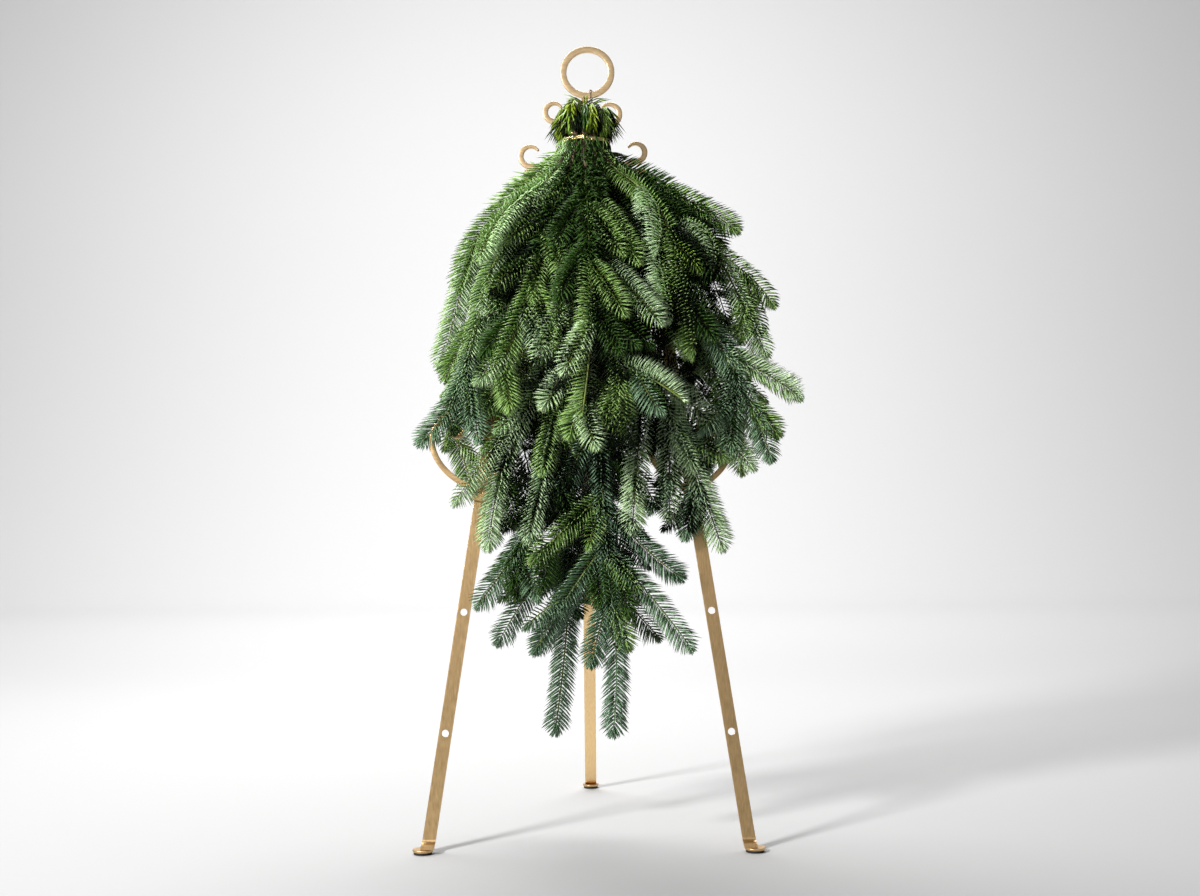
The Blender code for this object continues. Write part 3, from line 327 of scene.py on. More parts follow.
# The boughs: the same table and rule of growth as the solids have
tieHeight = 0.985
bundleY = 0.094
outerRing, innerRing = 0.0255, 0.0126
outerStem, innerStem = 0.0064, 0.0061
outerLimb, innerLimb = 0.052, 0.075
limbEndRadius = 0.0045
plumbLength, leanLength = 0.015, 0.009
boughs = {
    "centre": dict(ring=innerRing, slot=0, face=0, length=0.46,
                   leans=(0, 2, 0, -3, -1, 24), outs=(0, 16, 20, 16, 16, 18),
                   shoots=((0.50, -30, 14, 0.09), (0.56, 26, 14, 0.10), (0.72, -40, 14, 0.09),
                           (0.78, 34, 12, 0.09), (0.84, -22, 14, 0.06))),
    "front": dict(ring=outerRing, slot=0, face=0, length=0.42,
                  leans=(0, 3, 3, 1, -5, -9), outs=(0, 34, 26, 14, 10, 4),
                  shoots=((0.24, -32, 22, 0.09), (0.28, 34, 20, 0.09), (0.44, -30, 18, 0.09),
                          (0.50, 32, 18, 0.09), (0.64, 30, 14, 0.08), (0.70, -28, 10, 0.08))),
    "front_right": dict(ring=outerRing, slot=30, face=0, length=0.43,
                        leans=(0, 5, 6, 9, 6, -2), outs=(0, 30, 20, 12, 4, 0),
                        shoots=((0.25, 32, 20, 0.11), (0.38, -22, 20, 0.08),
                                (0.48, 42, 16, 0.115), (0.64, 26, 6, 0.09),
                                (0.80, 58, 20, 0.105), (0.84, -18, 6, 0.07))),
    "right_front": dict(ring=outerRing, slot=60, face=0, length=0.365,
                        leans=(10, 54, 32, 14, 8, 2), outs=(0, 26, 18, 8, 0, 0),
                        shoots=((0.30, 12, 26, 0.11, -60), (0.32, 10, 16, 0.19),
                                (0.50, 38, 6, 0.09), (0.62, -14, 6, 0.09),
                                (0.80, 36, 4, 0.06))),
    "front_left": dict(ring=innerRing, slot=300, face=0, length=0.345,
                       leans=(0, -3, -4, -8, -18, -36), outs=(0, 22, 22, 18, 12, 6),
                       shoots=((0.46, -42, 14, 0.10), (0.56, 22, 18, 0.09),
                               (0.76, 4, 12, 0.08))),
    "left_front": dict(ring=outerRing, slot=330, face=0, length=0.385,
                       leans=(-5, -24, -12, -18, -22, -14), outs=(0, 24, 18, 8, 4, 0),
                       shoots=((0.28, -30, 16, 0.09), (0.40, 18, 20, 0.12),
                               (0.46, -34, 8, 0.09), (0.60, 16, 8, 0.10),
                               (0.72, -44, 4, 0.08))),
    "left_arch": dict(ring=outerRing, slot=300, face=0, length=0.43,
                      leans=(-20, -38, -30, -30, -8, -20, -22), outs=(0, 24, 10, 4, 0, 0, 0),
                      shoots=((0.20, -38, 28, 0.16, 46), (0.44, 14, 8, 0.11),
                              (0.56, 12, 4, 0.11), (0.70, -30, -4, 0.095),
                              (0.80, -29, 4, 0.15, -40), (0.84, 8, 0, 0.075))),
    "left_out": dict(ring=outerRing, slot=270, face=0, length=0.275,
                     leans=(-25, -54, -47, -42, -26, -6), outs=(0, 8, 6, 2, 0, 0),
                     shoots=((0.40, -14, 4, 0.10), (0.60, -7, -8, 0.17),
                             (0.72, -16, 0, 0.19))),
    "right_mid": dict(ring=outerRing, slot=90, face=0, length=0.35,
                      leans=(10, 56, 46, 48, 52, 34), outs=(0, 16, 12, 4, 0, 0),
                      shoots=((0.38, 22, 8, 0.12), (0.50, 30, 22, 0.095, -100),
                              (0.66, 26, 2, 0.17), (0.82, 16, 0, 0.09))),
    "right": dict(ring=outerRing, slot=120, face=0, length=0.245,
                  leans=(20, 66, 60, 60, 60, 56), outs=(0, 0, 8, 6, 0, 0),
                  shoots=((0.34, 42, 10, 0.11), (0.50, 36, 8, 0.10), (0.68, 34, 4, 0.08))),
    "right_long": dict(ring=innerRing, slot=60, face=0, length=0.53,
                       leans=(0, 36, 36, 34, 26, 16), outs=(0, 14, 12, 6, 0, 0),
                       shoots=((0.44, 12, 10, 0.12), (0.60, 40, 0, 0.09),
                               (0.70, 60, 0, 0.12), (0.76, -4, 0, 0.11),
                               (0.84, 40, 0, 0.06))),
    "right_low": dict(ring=innerRing, slot=120, face=0, length=0.615,
                      leans=(0, 10, 19, 26, 20, 18), outs=(0, 10, 12, 6, 0, 0),
                      shoots=((0.44, -4, 8, 0.14), (0.56, 45, 4, 0.20), (0.54, -5, 6, 0.24),
                              (0.70, 34, 0, 0.08), (0.66, 0, 2, 0.155),
                              (0.84, -14, 0, 0.08))),
    "left_mid": dict(ring=outerRing, slot=240, face=0, length=0.60,
                     leans=(0, -3, -5, -14, -28, -14, -6), outs=(0, 10, 14, 10, 4, 2, 0),
                     shoots=((0.34, -40, 6, 0.10), (0.42, 14, 8, 0.11),
                             (0.52, -46, 10, 0.135, 38), (0.60, -40, -2, 0.12),
                             (0.62, 27, -6, 0.115), (0.68, -38, 8, 0.155, 12),
                             (0.82, 16, 0, 0.08))),
    "left_low": dict(ring=innerRing, slot=240, face=0, length=0.69,
                     leans=(0, -2, -3, -5, -9, -10, -16, -34, -38),
                     outs=(0, 6, 10, 10, 6, 4, 0, 0, 0),
                     shoots=((0.42, -30, 6, 0.11), (0.50, -12, 12, 0.14),
                             (0.60, -13, 6, 0.165), (0.66, 18, 4, 0.11),
                             (0.84, -6, 0, 0.08))),
    "tail": dict(ring=innerRing, slot=180, face=0, length=0.84,
                 leans=(0, 3, 3, 3, 6, -7), outs=(0, 8, 10, 6, 0, 0),
                 shoots=((0.46, 24, 8, 0.12), (0.48, -26, 8, 0.12), (0.61, -48, 6, 0.135),
                         (0.62, 46, 6, 0.15, 16), (0.685, -34, 6, 0.18),
                         (0.695, 40, 6, 0.18), (0.765, -16, 2, 0.105),
                         (0.78, 18, 0, 0.07))),
    "tail_back": dict(ring=outerRing, slot=180, face=0, length=0.85,
                      leans=(0, -2, -3, -3, -4, -9), outs=(0, -8, -4, 6, 4, 0),
                      shoots=((0.46, 26, -16, 0.14), (0.47, -26, -16, 0.14),
                              (0.66, -34, 0, 0.195), (0.60, 30, -6, 0.15),
                              (0.70, 46, 0, 0.175), (0.71, -12, 0, 0.10),
                              (0.76, -28, -6, 0.10))),
    "back_left": dict(ring=outerRing, slot=210, face=180, length=0.58,
                      leans=(5, 34, 30, 24, 16, 8), outs=(0, 14, 8, 2, 0, 0),
                      shoots=((0.26, -14, 8, 0.13), (0.30, 52, 0, 0.11), (0.42, -12, 8, 0.14),
                              (0.46, 54, 0, 0.12), (0.60, -16, 6, 0.13), (0.64, 48, 0, 0.12),
                              (0.78, -18, 2, 0.10), (0.80, 42, 0, 0.09))),
    "back_right": dict(ring=outerRing, slot=150, face=180, length=0.54,
                       leans=(-5, -38, -32, -26, -18, -8), outs=(0, 14, 8, 2, 0, 0),
                       shoots=((0.26, 14, 8, 0.13), (0.30, -54, 0, 0.11), (0.42, 12, 8, 0.14),
                               (0.46, -56, 0, 0.12), (0.60, 16, 6, 0.13), (0.64, -50, 0, 0.12),
                               (0.78, 18, 2, 0.10), (0.80, -44, 0, 0.09))),
}


def facing(face):
    # the right-hand and the outward direction of one who looks at that face
    turn = math.radians(face)
    return (np.array((math.cos(turn), math.sin(turn), 0)),
            np.array((math.sin(turn), -math.cos(turn), 0)))


def grownPath(start, face, leans, outs, length, steps, plumb=0.0):
    # Each stride's heading is cos(out) (sin(lean) right + cos(lean) down) + sin(out) outward;
    # the path is the running sum of the strides.
    share = np.linspace(0, 1, steps + 1)
    free = np.clip((share * length - plumb) / leanLength, 0, 1) if plumb else 1.0
    lean = np.radians(np.interp(share, np.linspace(0, 1, len(leans)), leans)) * free
    out = np.radians(np.interp(share, np.linspace(0, 1, len(outs)), outs)) * free
    right, outward = facing(face)
    heading = ((np.cos(out) * np.sin(lean))[:, None] * right
               + (np.cos(out) * np.cos(lean))[:, None] * down + np.sin(out)[:, None] * outward)
    strides = (heading[1:] + heading[:-1]) / 2 * length / steps
    return np.vstack((start, start + np.cumsum(strides, axis=0)))


def boughPath(bough):
    slot = math.radians(bough["slot"])
    start = frontLine + np.array((bough["ring"] * math.sin(slot),
                                  bundleY - bough["ring"] * math.cos(slot), tieHeight))
    return grownPath(start, bough["face"], bough["leans"], bough["outs"], bough["length"], 160,
                     plumbLength)


def shootPath(bough, path, shoot):
    where, lean, out, length = shoot[:4]
    curl = shoot[4] if len(shoot) > 4 else -0.25 * lean
    leans = (lean - curl / 2, lean, lean + curl / 2)
    return grownPath(at(path, where), bough["face"], leans, (out, out, out / 2), length, 24)


# Needles
ringShares, ringWidths = (0.10, 0.62), (0.85, 1.0)
needleLook = {"length": 0.027, "width": 0.0018, "thick": 0.0012, "pitch": 0.0048, "whorl": 9,
              "sideAngle": 58, "tipAngle": 15, "aheadBend": 0.22, "upBend": 0.25,
              "sweptBend": 2.0, "sweptAngle": 20, "sweptSpread": 18, "closeAngle": 1.0,
              "spread": 132, "lengthSpread": 0.04, "angleSpread": 2.0,
              "droop": 0.0, "open": False, "tipRun": 0.022, "rings": ringShares,
              "shadedFrom": 104}
stemLook = dict(needleLook, closeAngle=0.6, whorl=9, open=True)
denseLook = dict(needleLook, pitch=0.0044, whorl=10, sideAngle=52, upBend=0.15,
                 lengthSpread=0.06, spread=158, tipAngle=24)
combLook = dict(denseLook, pitch=0.0050, whorl=9, spread=145)
lookOf = dict.fromkeys(("left_out", "left_arch", "right_long", "right", "right_mid", "left_low"),
                       denseLook)
lookOf.update(dict.fromkeys(("tail", "tail_back"), combLook))
shaggyLook = dict(stemLook, length=0.030, sideAngle=44, aheadBend=0.2, spread=165, width=0.0021,
                  lengthSpread=0.12, angleSpread=10.0, sweptBend=0.0, sweptAngle=0,
                  sweptSpread=0)


def needleBlades(roots, leaving, ending, lengths, flats, widths, shares=ringShares):
    # Needle k's centre line is root + length (t leaving + t^2 / 2 (ending - leaving)); it runs
    # from a root point through one or two rings of three to a point.
    count, rings = len(roots), len(shares)
    share = np.array(shares)[None, :, None]
    bend = (ending - leaving)[:, None, :]

    def along(t):
        return roots[:, None, :] + lengths[:, None, None] * (t * leaving[:, None, :]
                                                            + t * t / 2 * bend)
    heading = unit(leaving[:, None, :] + share * bend)
    aside = unit(np.cross(heading, np.broadcast_to(flats[:, None, :], heading.shape)))
    over = np.cross(aside, heading)
    half = widths[:, None, None] / 2 * np.array(ringWidths[-rings:])[None, :, None]
    thick = needleLook["thick"] / needleLook["width"] * 2 * half
    centre = along(share)
    corners = np.stack((centre + half * aside + 0.35 * thick * over,
                        centre - half * aside + 0.35 * thick * over,
                        centre - 0.65 * thick * over), axis=2).reshape(count, 3 * rings, 3)
    points = np.concatenate((roots[:, None, :], corners, along(np.array([[[1.0]]]))), axis=1)
    one = [0, 1, 2, 0, 2, 3, 0, 3, 1]
    for ring in range(rings - 1):
        for k in range(3):
            low, high = 1 + 3 * ring, 4 + 3 * ring
            one += [low + k, high + k, high + (k + 1) % 3, low + (k + 1) % 3]
    last = 3 * rings - 2
    tip = 3 * rings + 1
    one += [last, tip, last + 1, last + 1, tip, last + 2, last + 2, tip, last]
    loops = (np.arange(count)[:, None] * (tip + 1) + np.array(one)[None, :]).ravel()
    sizes = np.tile(np.array([3] * 3 + [4] * 3 * (rings - 1) + [3] * 3), count)
    return points.reshape(-1, 3), loops, sizes


# Bars of the easel that needles keep clear of, in the leaning plane
barLook = {"halfSpread": 0.2187, "splay": 0.15, "width": 0.018, "clear": 0.0045,
           "crossbar": 0.9392, "rearTop": 0.1465, "rearReach": 0.417, "rearRise": 0.94}


def clearOfEasel(points):
    # points (n, m, 3): true where no point of a needle lies inside a leg, the crossbar or post
    local = points - frontLine
    height = local @ planeUp * math.cos(leanAngle)
    nearPlane = np.abs(local @ planeFront) < barLook["clear"]
    across = np.abs(local[..., 0])
    legLine = barLook["halfSpread"] - barLook["splay"] * height
    onLeg = (np.abs(across - legLine) < barLook["width"] / 2 + 0.0015) & (height < 0.95)
    onCrossbar = (np.abs(height - barLook["crossbar"]) < 0.0055) & (across < 0.08)
    onPost = (across < 0.0065) & (height > barLook["crossbar"])
    rise = (barLook["rearRise"] - height) / barLook["rearRise"]
    rearLine = barLook["rearTop"] + (barLook["rearReach"] - barLook["rearTop"]) * rise
    onRear = (across < barLook["width"] / 2 + 0.001) & (np.abs(local[..., 1] - rearLine) < 0.0045)
    return ~((nearPlane & (onLeg | onCrossbar | onPost)) | onRear).any(axis=1)


def keptNeedles(roots, leaving, ending, lengths, flats, widths, shaded, shares):
    # Needles that would leave the solids' box are shortened, and those that would still leave
    # it, or run into the easel, are left out. Which of the kept ones are shaded comes last.
    def reachOf(part):
        return roots + lengths[:, None] * (part * leaving + part ** 2 / 2 * (ending - leaving))

    def inside(points):
        return ((points > cadLow + 0.001) & (points < cadHigh - 0.001)).all(axis=1)
    lengths = np.where(inside(reachOf(1.0)), lengths, lengths * 0.7)
    keep = inside(reachOf(1.0)) & clearOfEasel(np.stack((reachOf(0.5), reachOf(1.0)), axis=1))
    return *needleBlades(roots[keep], leaving[keep], ending[keep], lengths[keep], flats[keep],
                         widths[keep], shares), shaded[keep]


def sprayNeedles(path, length, face, sweep, look, bare=0.0, girth=(0.0008, 0.01)):
    # Needles leave the shoot in whorls, one every pitch, each an even fan round the shoot's
    # upper side, the fans drifting a little from whorl to whorl. They then bend towards the upper
    # side and the tip. The sweep turns the upper side from the viewer of the face to the right. The
    # leaving angle is atan(tan(side angle) / lateral share), so that a whorl's needles look
    # parallel from the face; those on its hidden side stand half a pitch further on.
    whorls = max(4, round((length - bare) / look["pitch"]))
    whorl, place = np.divmod(np.arange(whorls * look["whorl"]), look["whorl"])
    count = len(whorl)
    evenly = bare + (length - bare) * (whorl + 0.5) / whorls
    ahead = unit(at(np.gradient(path, axis=0), evenly / length))
    outward = facing(face)[1]
    front = unit(outward - (ahead @ outward)[:, None] * ahead)
    right = np.cross(front, ahead)
    turned = np.radians(sweep + rng.normal(0, 8) * (evenly / length - 0.5)
                        + rng.normal(0, look["angleSpread"], count))[:, None]
    upper = np.cos(turned) * front + np.sin(turned) * right
    across = np.cross(ahead, upper)
    fan = (2 * place + 1 + 0.15 * np.sin(2.4 * whorl)) / look["whorl"] - 1
    swept = math.sin(math.radians(sweep)) ** 2
    spread = look["spread"] - look["sweptSpread"] * swept
    around = np.radians(spread * fan + rng.normal(0, look["angleSpread"], count))
    spoke = np.cos(around)[:, None] * upper + np.sin(around)[:, None] * across
    hidden = (spoke * front).sum(axis=1) < -0.1
    shift = (0.5 * hidden + rng.normal(0, 0.06, count)) * (length - bare) / whorls
    share = np.clip((evenly + shift) / length, 0, 1)
    toTip = 1.0 if look["open"] else np.clip((1 - share) * length / look["tipRun"], 0, 1)
    slant = math.tan(math.radians(look["sideAngle"] + look["sweptAngle"] * swept))
    lateral = np.abs((spoke * right).sum(axis=1)).clip(0.2)
    wide = np.degrees(np.arctan(slant / lateral))
    close = np.interp(share * length, (bare, bare + 0.07), (look["closeAngle"], 1.0))
    leave = np.radians((look["tipAngle"] + (wide - look["tipAngle"]) * toTip ** 0.8) * close
                       + rng.normal(0, look["angleSpread"], count))[:, None]
    leaving = np.cos(leave) * ahead + np.sin(leave) * spoke
    bend = look["upBend"] + look["sweptBend"] * swept
    lift = (bend * (0.12 + 0.88 * (1 - np.cos(around)) / 2) * (0.3 + 0.7 * toTip)
            * rng.uniform(0.85, 1.15, count))[:, None]
    ending = unit(leaving + lift * upper + look["aheadBend"] * ahead + look["droop"] * down)
    lengths = look["length"] * (1 + rng.normal(0, look["lengthSpread"], count))
    lengths = lengths * np.interp(share * length, (bare, bare + 0.02), (0.8, 1.0))
    if not look["open"]:
        lengths *= np.interp((1 - share) * length, (0, look["tipRun"]), (0.32, 1.0))
    widths = look["width"] * rng.uniform(0.88, 1.12, count)
    thick = np.interp(share * length, (0, girth[1]), (girth[0], 0.0008))[:, None]
    roots = at(path, share) + thick * spoke
    flats = unit(upper + 0.6 * spoke + 0.3 * ahead)
    # needles that stand furthest round from the upper side, towards the underside, are marked
    # shaded, for painted shade
    shaded = np.abs(around) > math.radians(look["shadedFrom"])
    return keptNeedles(roots, leaving, ending, lengths, flats, widths, shaded, look["rings"])


def addNeedles(pile, needles, tone, rings=ringShares):
    # each needle's three heel faces, then its blade's, in the tone or, for shaded needles, in its
    # darker copy as painted shade; the number of needles comes back
    *mesh, shaded = needles
    tones = np.where(shaded, toneNames.index(shadedTone.get(tone, tone)), toneNames.index(tone))
    slots = np.repeat(tones[:, None], 3 + 3 * len(rings), axis=1)
    slots[:, :3] = toneNames.index(heelOf.get(tone, "heel"))
    pile.add(*mesh, slots.ravel())
    return len(shaded)


def twigTube(path, rootRadius, tipRadius, sides=5):
    # a tapering twig with small swellings where needles sit, closed by a point at each end
    share = np.linspace(0, 1, len(path))[:, None]
    swelling = 1 + 0.07 * np.sin(61 * share * math.pi + 2 * np.arange(sides)[None, :])
    return carried(path, (rootRadius + (tipRadius - rootRadius) * share) * swelling, sides,
                   np.array((0.2, -1.0, 0.3)))


# Which way needles sweep (degrees from the viewer to the right) and their tone, as the photo
# shows them: for each bough its stem's upper half, its lower half, then its listed shoots.
shown = {
    "centre": ((0, "deep"), (0, "frost"), (-20, "deep"), (20, "leaf"), (-30, "frost"),
               (10, "leaf"), (0, "leaf")),
    "front": ((0, "deep"), (-66, "leaf"), (-20, "deep"), (10, "leaf"), (-20, "deep"),
              (20, "leaf"), (20, "deep"), (-10, "frost")),
    "front_right": ((0, "deep"), (-10, "leaf"), (20, "leaf"), (0, "deep"), (34, "frost"),
                    (0, "old"), (62, "frost"), (0, "leaf")),
    "right_front": ((-50, "leaf"), (-70, "leaf"), (-76, "frost"), (-66, "frost"), (0, "old"),
                    (-60, "leaf"), (-20, "deep")),
    "front_left": ((0, "deep"), (20, "frost"), (30, "leaf"), (0, "leaf"), (0, "leaf")),
    "left_front": ((0, "deep"), (20, "leaf"), (0, "old"), (10, "leaf"), (0, "old"),
                   (0, "leaf"), (0, "deep")),
    # The left arch's upper stem and first shoot are pale: the frost bloom lightened further,
    # painted light.
    "left_arch": ((40, "pale"), (40, "frost"), (50, "pale"), (0, "deep"), (20, "leaf"),
                  (30, "leaf"), (20, "blue"), (30, "leaf")),
    "left_out": ((10, "leaf"), (20, "leaf"), (20, "frost"), (10, "leaf"), (24, "frost")),
    "right_mid": ((-50, "deep"), (-50, "leaf"), (-40, "deep"), (-76, "frost"), (-40, "frost"),
                  (-50, "deep")),
    "right": ((-20, "deep"), (-30, "leaf"), (-20, "deep"), (-40, "deep"), (-30, "deep")),
    "right_long": ((-40, "deep"), (-40, "blue"), (-60, "leaf"), (-30, "blue"), (30, "frost"),
                   (-30, "blue"), (10, "leaf")),
    "right_low": ((0, "deep"), (20, "frost"), (0, "blue"), (30, "frost"), (-20, "frost"),
                  (0, "blue"), (-20, "frost"), (0, "blue")),
    "left_mid": ((0, "deep"), (10, "frost"), (30, "leaf"), (0, "deep"), (20, "leaf"),
                 (50, "leaf"), (0, "leaf"), (50, "frost"), (0, "deep")),
    "left_low": ((0, "deep"), (30, "blue"), (20, "blue"), (10, "leaf"), (0, "frost"),
                 (0, "deep"), (10, "deep")),
    # The tail's shoots, here and behind, are mostly in the dark blue tone: blue darkened as painted
    # shade.
    "tail": ((0, "deep"), (0, "duskShade"), (0, "deep"), (0, "duskShade"), (30, "leaf"),
             (-20, "duskShade"), (30, "duskShade"), (-30, "blue"), (10, "duskShade"), (0, "leaf")),
    "tail_back": ((0, "old"), (20, "duskShade"), (0, "deep"), (0, "deep"), (30, "duskShade"),
                  (-20, "duskShade"), (-40, "deep"), (0, "duskShade"), (20, "duskShade")),
}
toneChances = {
    "high": dict(deep=1.5, leaf=6, fresh=0.5, frost=0.6),
    "middle": dict(deep=1.2, blue=1.5, leaf=4.7, fresh=0.3, frost=1.4),
    "low": dict(deep=1.2, blue=4, leaf=2, frost=1.4),
}
# How buried shoots are found, and the depths past which they take the deep or the near-black tone
# as painted shade
buriedLook = {"near": 0.022, "deep": 0.022, "old": 0.036, "points": 8, "lowest": 0.36}


def zoneTone(tip):
    # fresh greens high up, blue ones low down, with some chance
    height = (tip - frontLine)[2]
    zone = "high" if height > 0.72 else "middle" if height > 0.58 else "low"
    chances = np.array([toneChances[zone].get(name, 0) for name in toneNames], float)
    return toneNames[int(rng.choice(len(toneNames), p=chances / chances.sum()))]


def buriedDepths(lines, faces):
    # How far each line lies behind the foremost points that pass before it, as seen from its
    # own face of the crown: the depth that 0.3 of its points stay under.
    shares = np.linspace(0.25, 1, buriedLook["points"])
    points = np.stack([at(line, shares) for line in lines])
    flat = points.reshape(-1, 3)
    found = []
    for line, face in zip(points, faces):
        depth = flat[:, 1] if face == 0 else -flat[:, 1]
        own = line[:, 1] if face == 0 else -line[:, 1]
        apart = np.hypot(line[:, None, 0] - flat[None, :, 0], line[:, None, 2] - flat[None, :, 2])
        foremost = np.where(apart < buriedLook["near"], depth[None, :], 9.0).min(axis=1)
        found.append(float(np.quantile(own - foremost, 0.3)))
    return found


def leanOf(face, run):
    return math.degrees(math.atan2(run @ facing(face)[0], -run[2]))


# Fillers: short dark shoots in pairs along each stem, kept inside the crown's outline; their
# near-black and deep tones are painted shade.
fillerLook = {"every": 0.042, "length": 0.080, "side": 46, "backward": -20, "pitch": 0.0060,
              "whorl": 8, "width": 0.0022, "inner": 0.78, "rings": (0.5,),
              "shortest": 0.03, "darkest": 0.55}
crownOutline = {"heights": (0.14, 0.27, 0.32, 0.40, 0.47, 0.56, 0.64, 0.75, 0.85, 0.93, 0.98),
                "left": (-0.03, -0.14, -0.165, -0.14, -0.17, -0.23, -0.22, -0.19, -0.155, -0.075,
                         -0.03),
                "right": (0.03, 0.15, 0.15, 0.18, 0.22, 0.26, 0.28, 0.265, 0.22, 0.10, 0.03)}


def insideCrown(point, inner=fillerLook["inner"]):
    local = point - frontLine
    left = np.interp(local[2], crownOutline["heights"], crownOutline["left"])
    right = np.interp(local[2], crownOutline["heights"], crownOutline["right"])
    middle, half = (left + right) / 2, (right - left) / 2
    return abs(local[0] - middle) < inner * half


def shortOfSky(line, length):
    # the part of a shoot before it leaves the crown's outline
    steps = len(line) - 1
    inside = [insideCrown(point, 0.95) for point in line]
    last = inside.index(False) - 1 if False in inside else steps
    share = max(last, 0) / steps
    return at(line, np.linspace(0, share, steps + 1)), length * share


def fillerShoots(bough, path):
    made = []
    length = bough["length"]
    for where in np.arange(0.045, length - 0.10, fillerLook["every"]) / length:
        lean = leanOf(bough["face"], at(path, min(1.0, where + 0.05)) - at(path, where))
        for side in (-1, 1):
            swing = lean + side * fillerLook["side"] * rng.uniform(0.7, 1.15)
            reach = fillerLook["length"] * rng.uniform(0.75, 1.1)
            shoot = (where + rng.uniform(0, 0.02), swing,
                     fillerLook["backward"] * rng.uniform(-0.3, 1.6), reach,
                     -side * rng.uniform(5, 25))
            tip = shootPath(bough, path, shoot)[-1]
            if insideCrown(tip) and (tip - frontLine)[2] > surfaceLook["lowest"]:
                made.append(shoot)
    return made


# Surface shoots: short shoots off the stems and side shoots, tilted outwards
surfaceLook = {"every": 0.064, "length": 0.066, "side": 36, "out": 12, "start": 0.08,
               "end": 0.04, "darkMiddle": 0.9, "darkSide": 0.35, "lowest": 0.30}


# Shoots that cover the easel's scroll and two gaps, as in the photo: share of the stem, lean,
# outward tilt, length
coverShoots = {
    "tail": ((0.50, 33, -4, 0.125),),
    "right_mid": ((0.58, 19, 0, 0.130),),
    "left_arch": ((0.84, 2, 4, 0.090), (0.90, -8, 2, 0.075), (0.84, 8, 2, 0.110)),
    "left_front": ((0.90, 6, 0, 0.070),),
    "right_low": ((0.50, -8, 4, 0.110), (0.60, -14, 2, 0.110), (0.70, -8, 0, 0.100),
                  (0.56, 8, 0, 0.110)),
}


def surfaceShoots(bough, path):
    made = []
    stems = [(path, bough["length"])]
    stems += [(shootPath(bough, path, shoot), shoot[3]) for shoot in bough["shoots"]]
    for where, lean, out, reach in coverShoots.get(bough["name"], ()):
        made.append((grownPath(at(path, where), bough["face"], (lean, lean), (out, out),
                               reach, 24), reach))
    for number, (stem, length) in enumerate(stems):
        start = surfaceLook["start"] if number == 0 else 0.03
        side = 1 if rng.uniform() < 0.5 else -1
        for run in np.arange(start, length - surfaceLook["end"], surfaceLook["every"]):
            where = run / length
            lean = leanOf(bough["face"], at(stem, min(1.0, where + 0.1)) - at(stem, where))
            side = -side
            swing = lean + side * surfaceLook["side"] * rng.uniform(0.6, 1.2)
            reach = surfaceLook["length"] * rng.uniform(0.75, 1.15)
            out = surfaceLook["out"] * rng.uniform(0.6, 1.2)
            curl = -side * rng.uniform(0, 30)
            line = grownPath(at(stem, where), bough["face"],
                             (swing - curl / 2, swing, swing + curl / 2), (out, out, out / 2),
                             reach, 24)
            if insideCrown(line[-1]) and (line[-1] - frontLine)[2] > surfaceLook["lowest"]:
                made.append((line, reach))
    return made


def gatherSprays():
    # every shoot as (bough's name, path, length, kind, number)
    made = []
    for name, bough in boughs.items():
        bough["name"] = name
        path = boughPath(bough)
        half = len(path) // 2
        made.append((name, path[:half + 1], bough["length"] / 2, "upper", 0))
        made.append((name, path[half:], bough["length"] / 2, "lower", 1))
        for number, shoot in enumerate(bough["shoots"], start=2):
            made.append((name, shootPath(bough, path, shoot), shoot[3], "listed", number))
        for line, length in surfaceShoots(bough, path):
            made.append((name, line, length, "surface", None))
        for shoot in fillerShoots(bough, path):
            made.append((name, shootPath(bough, path, shoot), shoot[3], "filler", None))
    return made


def darkShare(tip):
    # more of the surface shoots take a dark tone in the crown's middle: painted shade
    across = abs((tip - frontLine)[0]) / 0.16
    return float(np.interp(across, (0.3, 1), (surfaceLook["darkMiddle"], surfaceLook["darkSide"])))


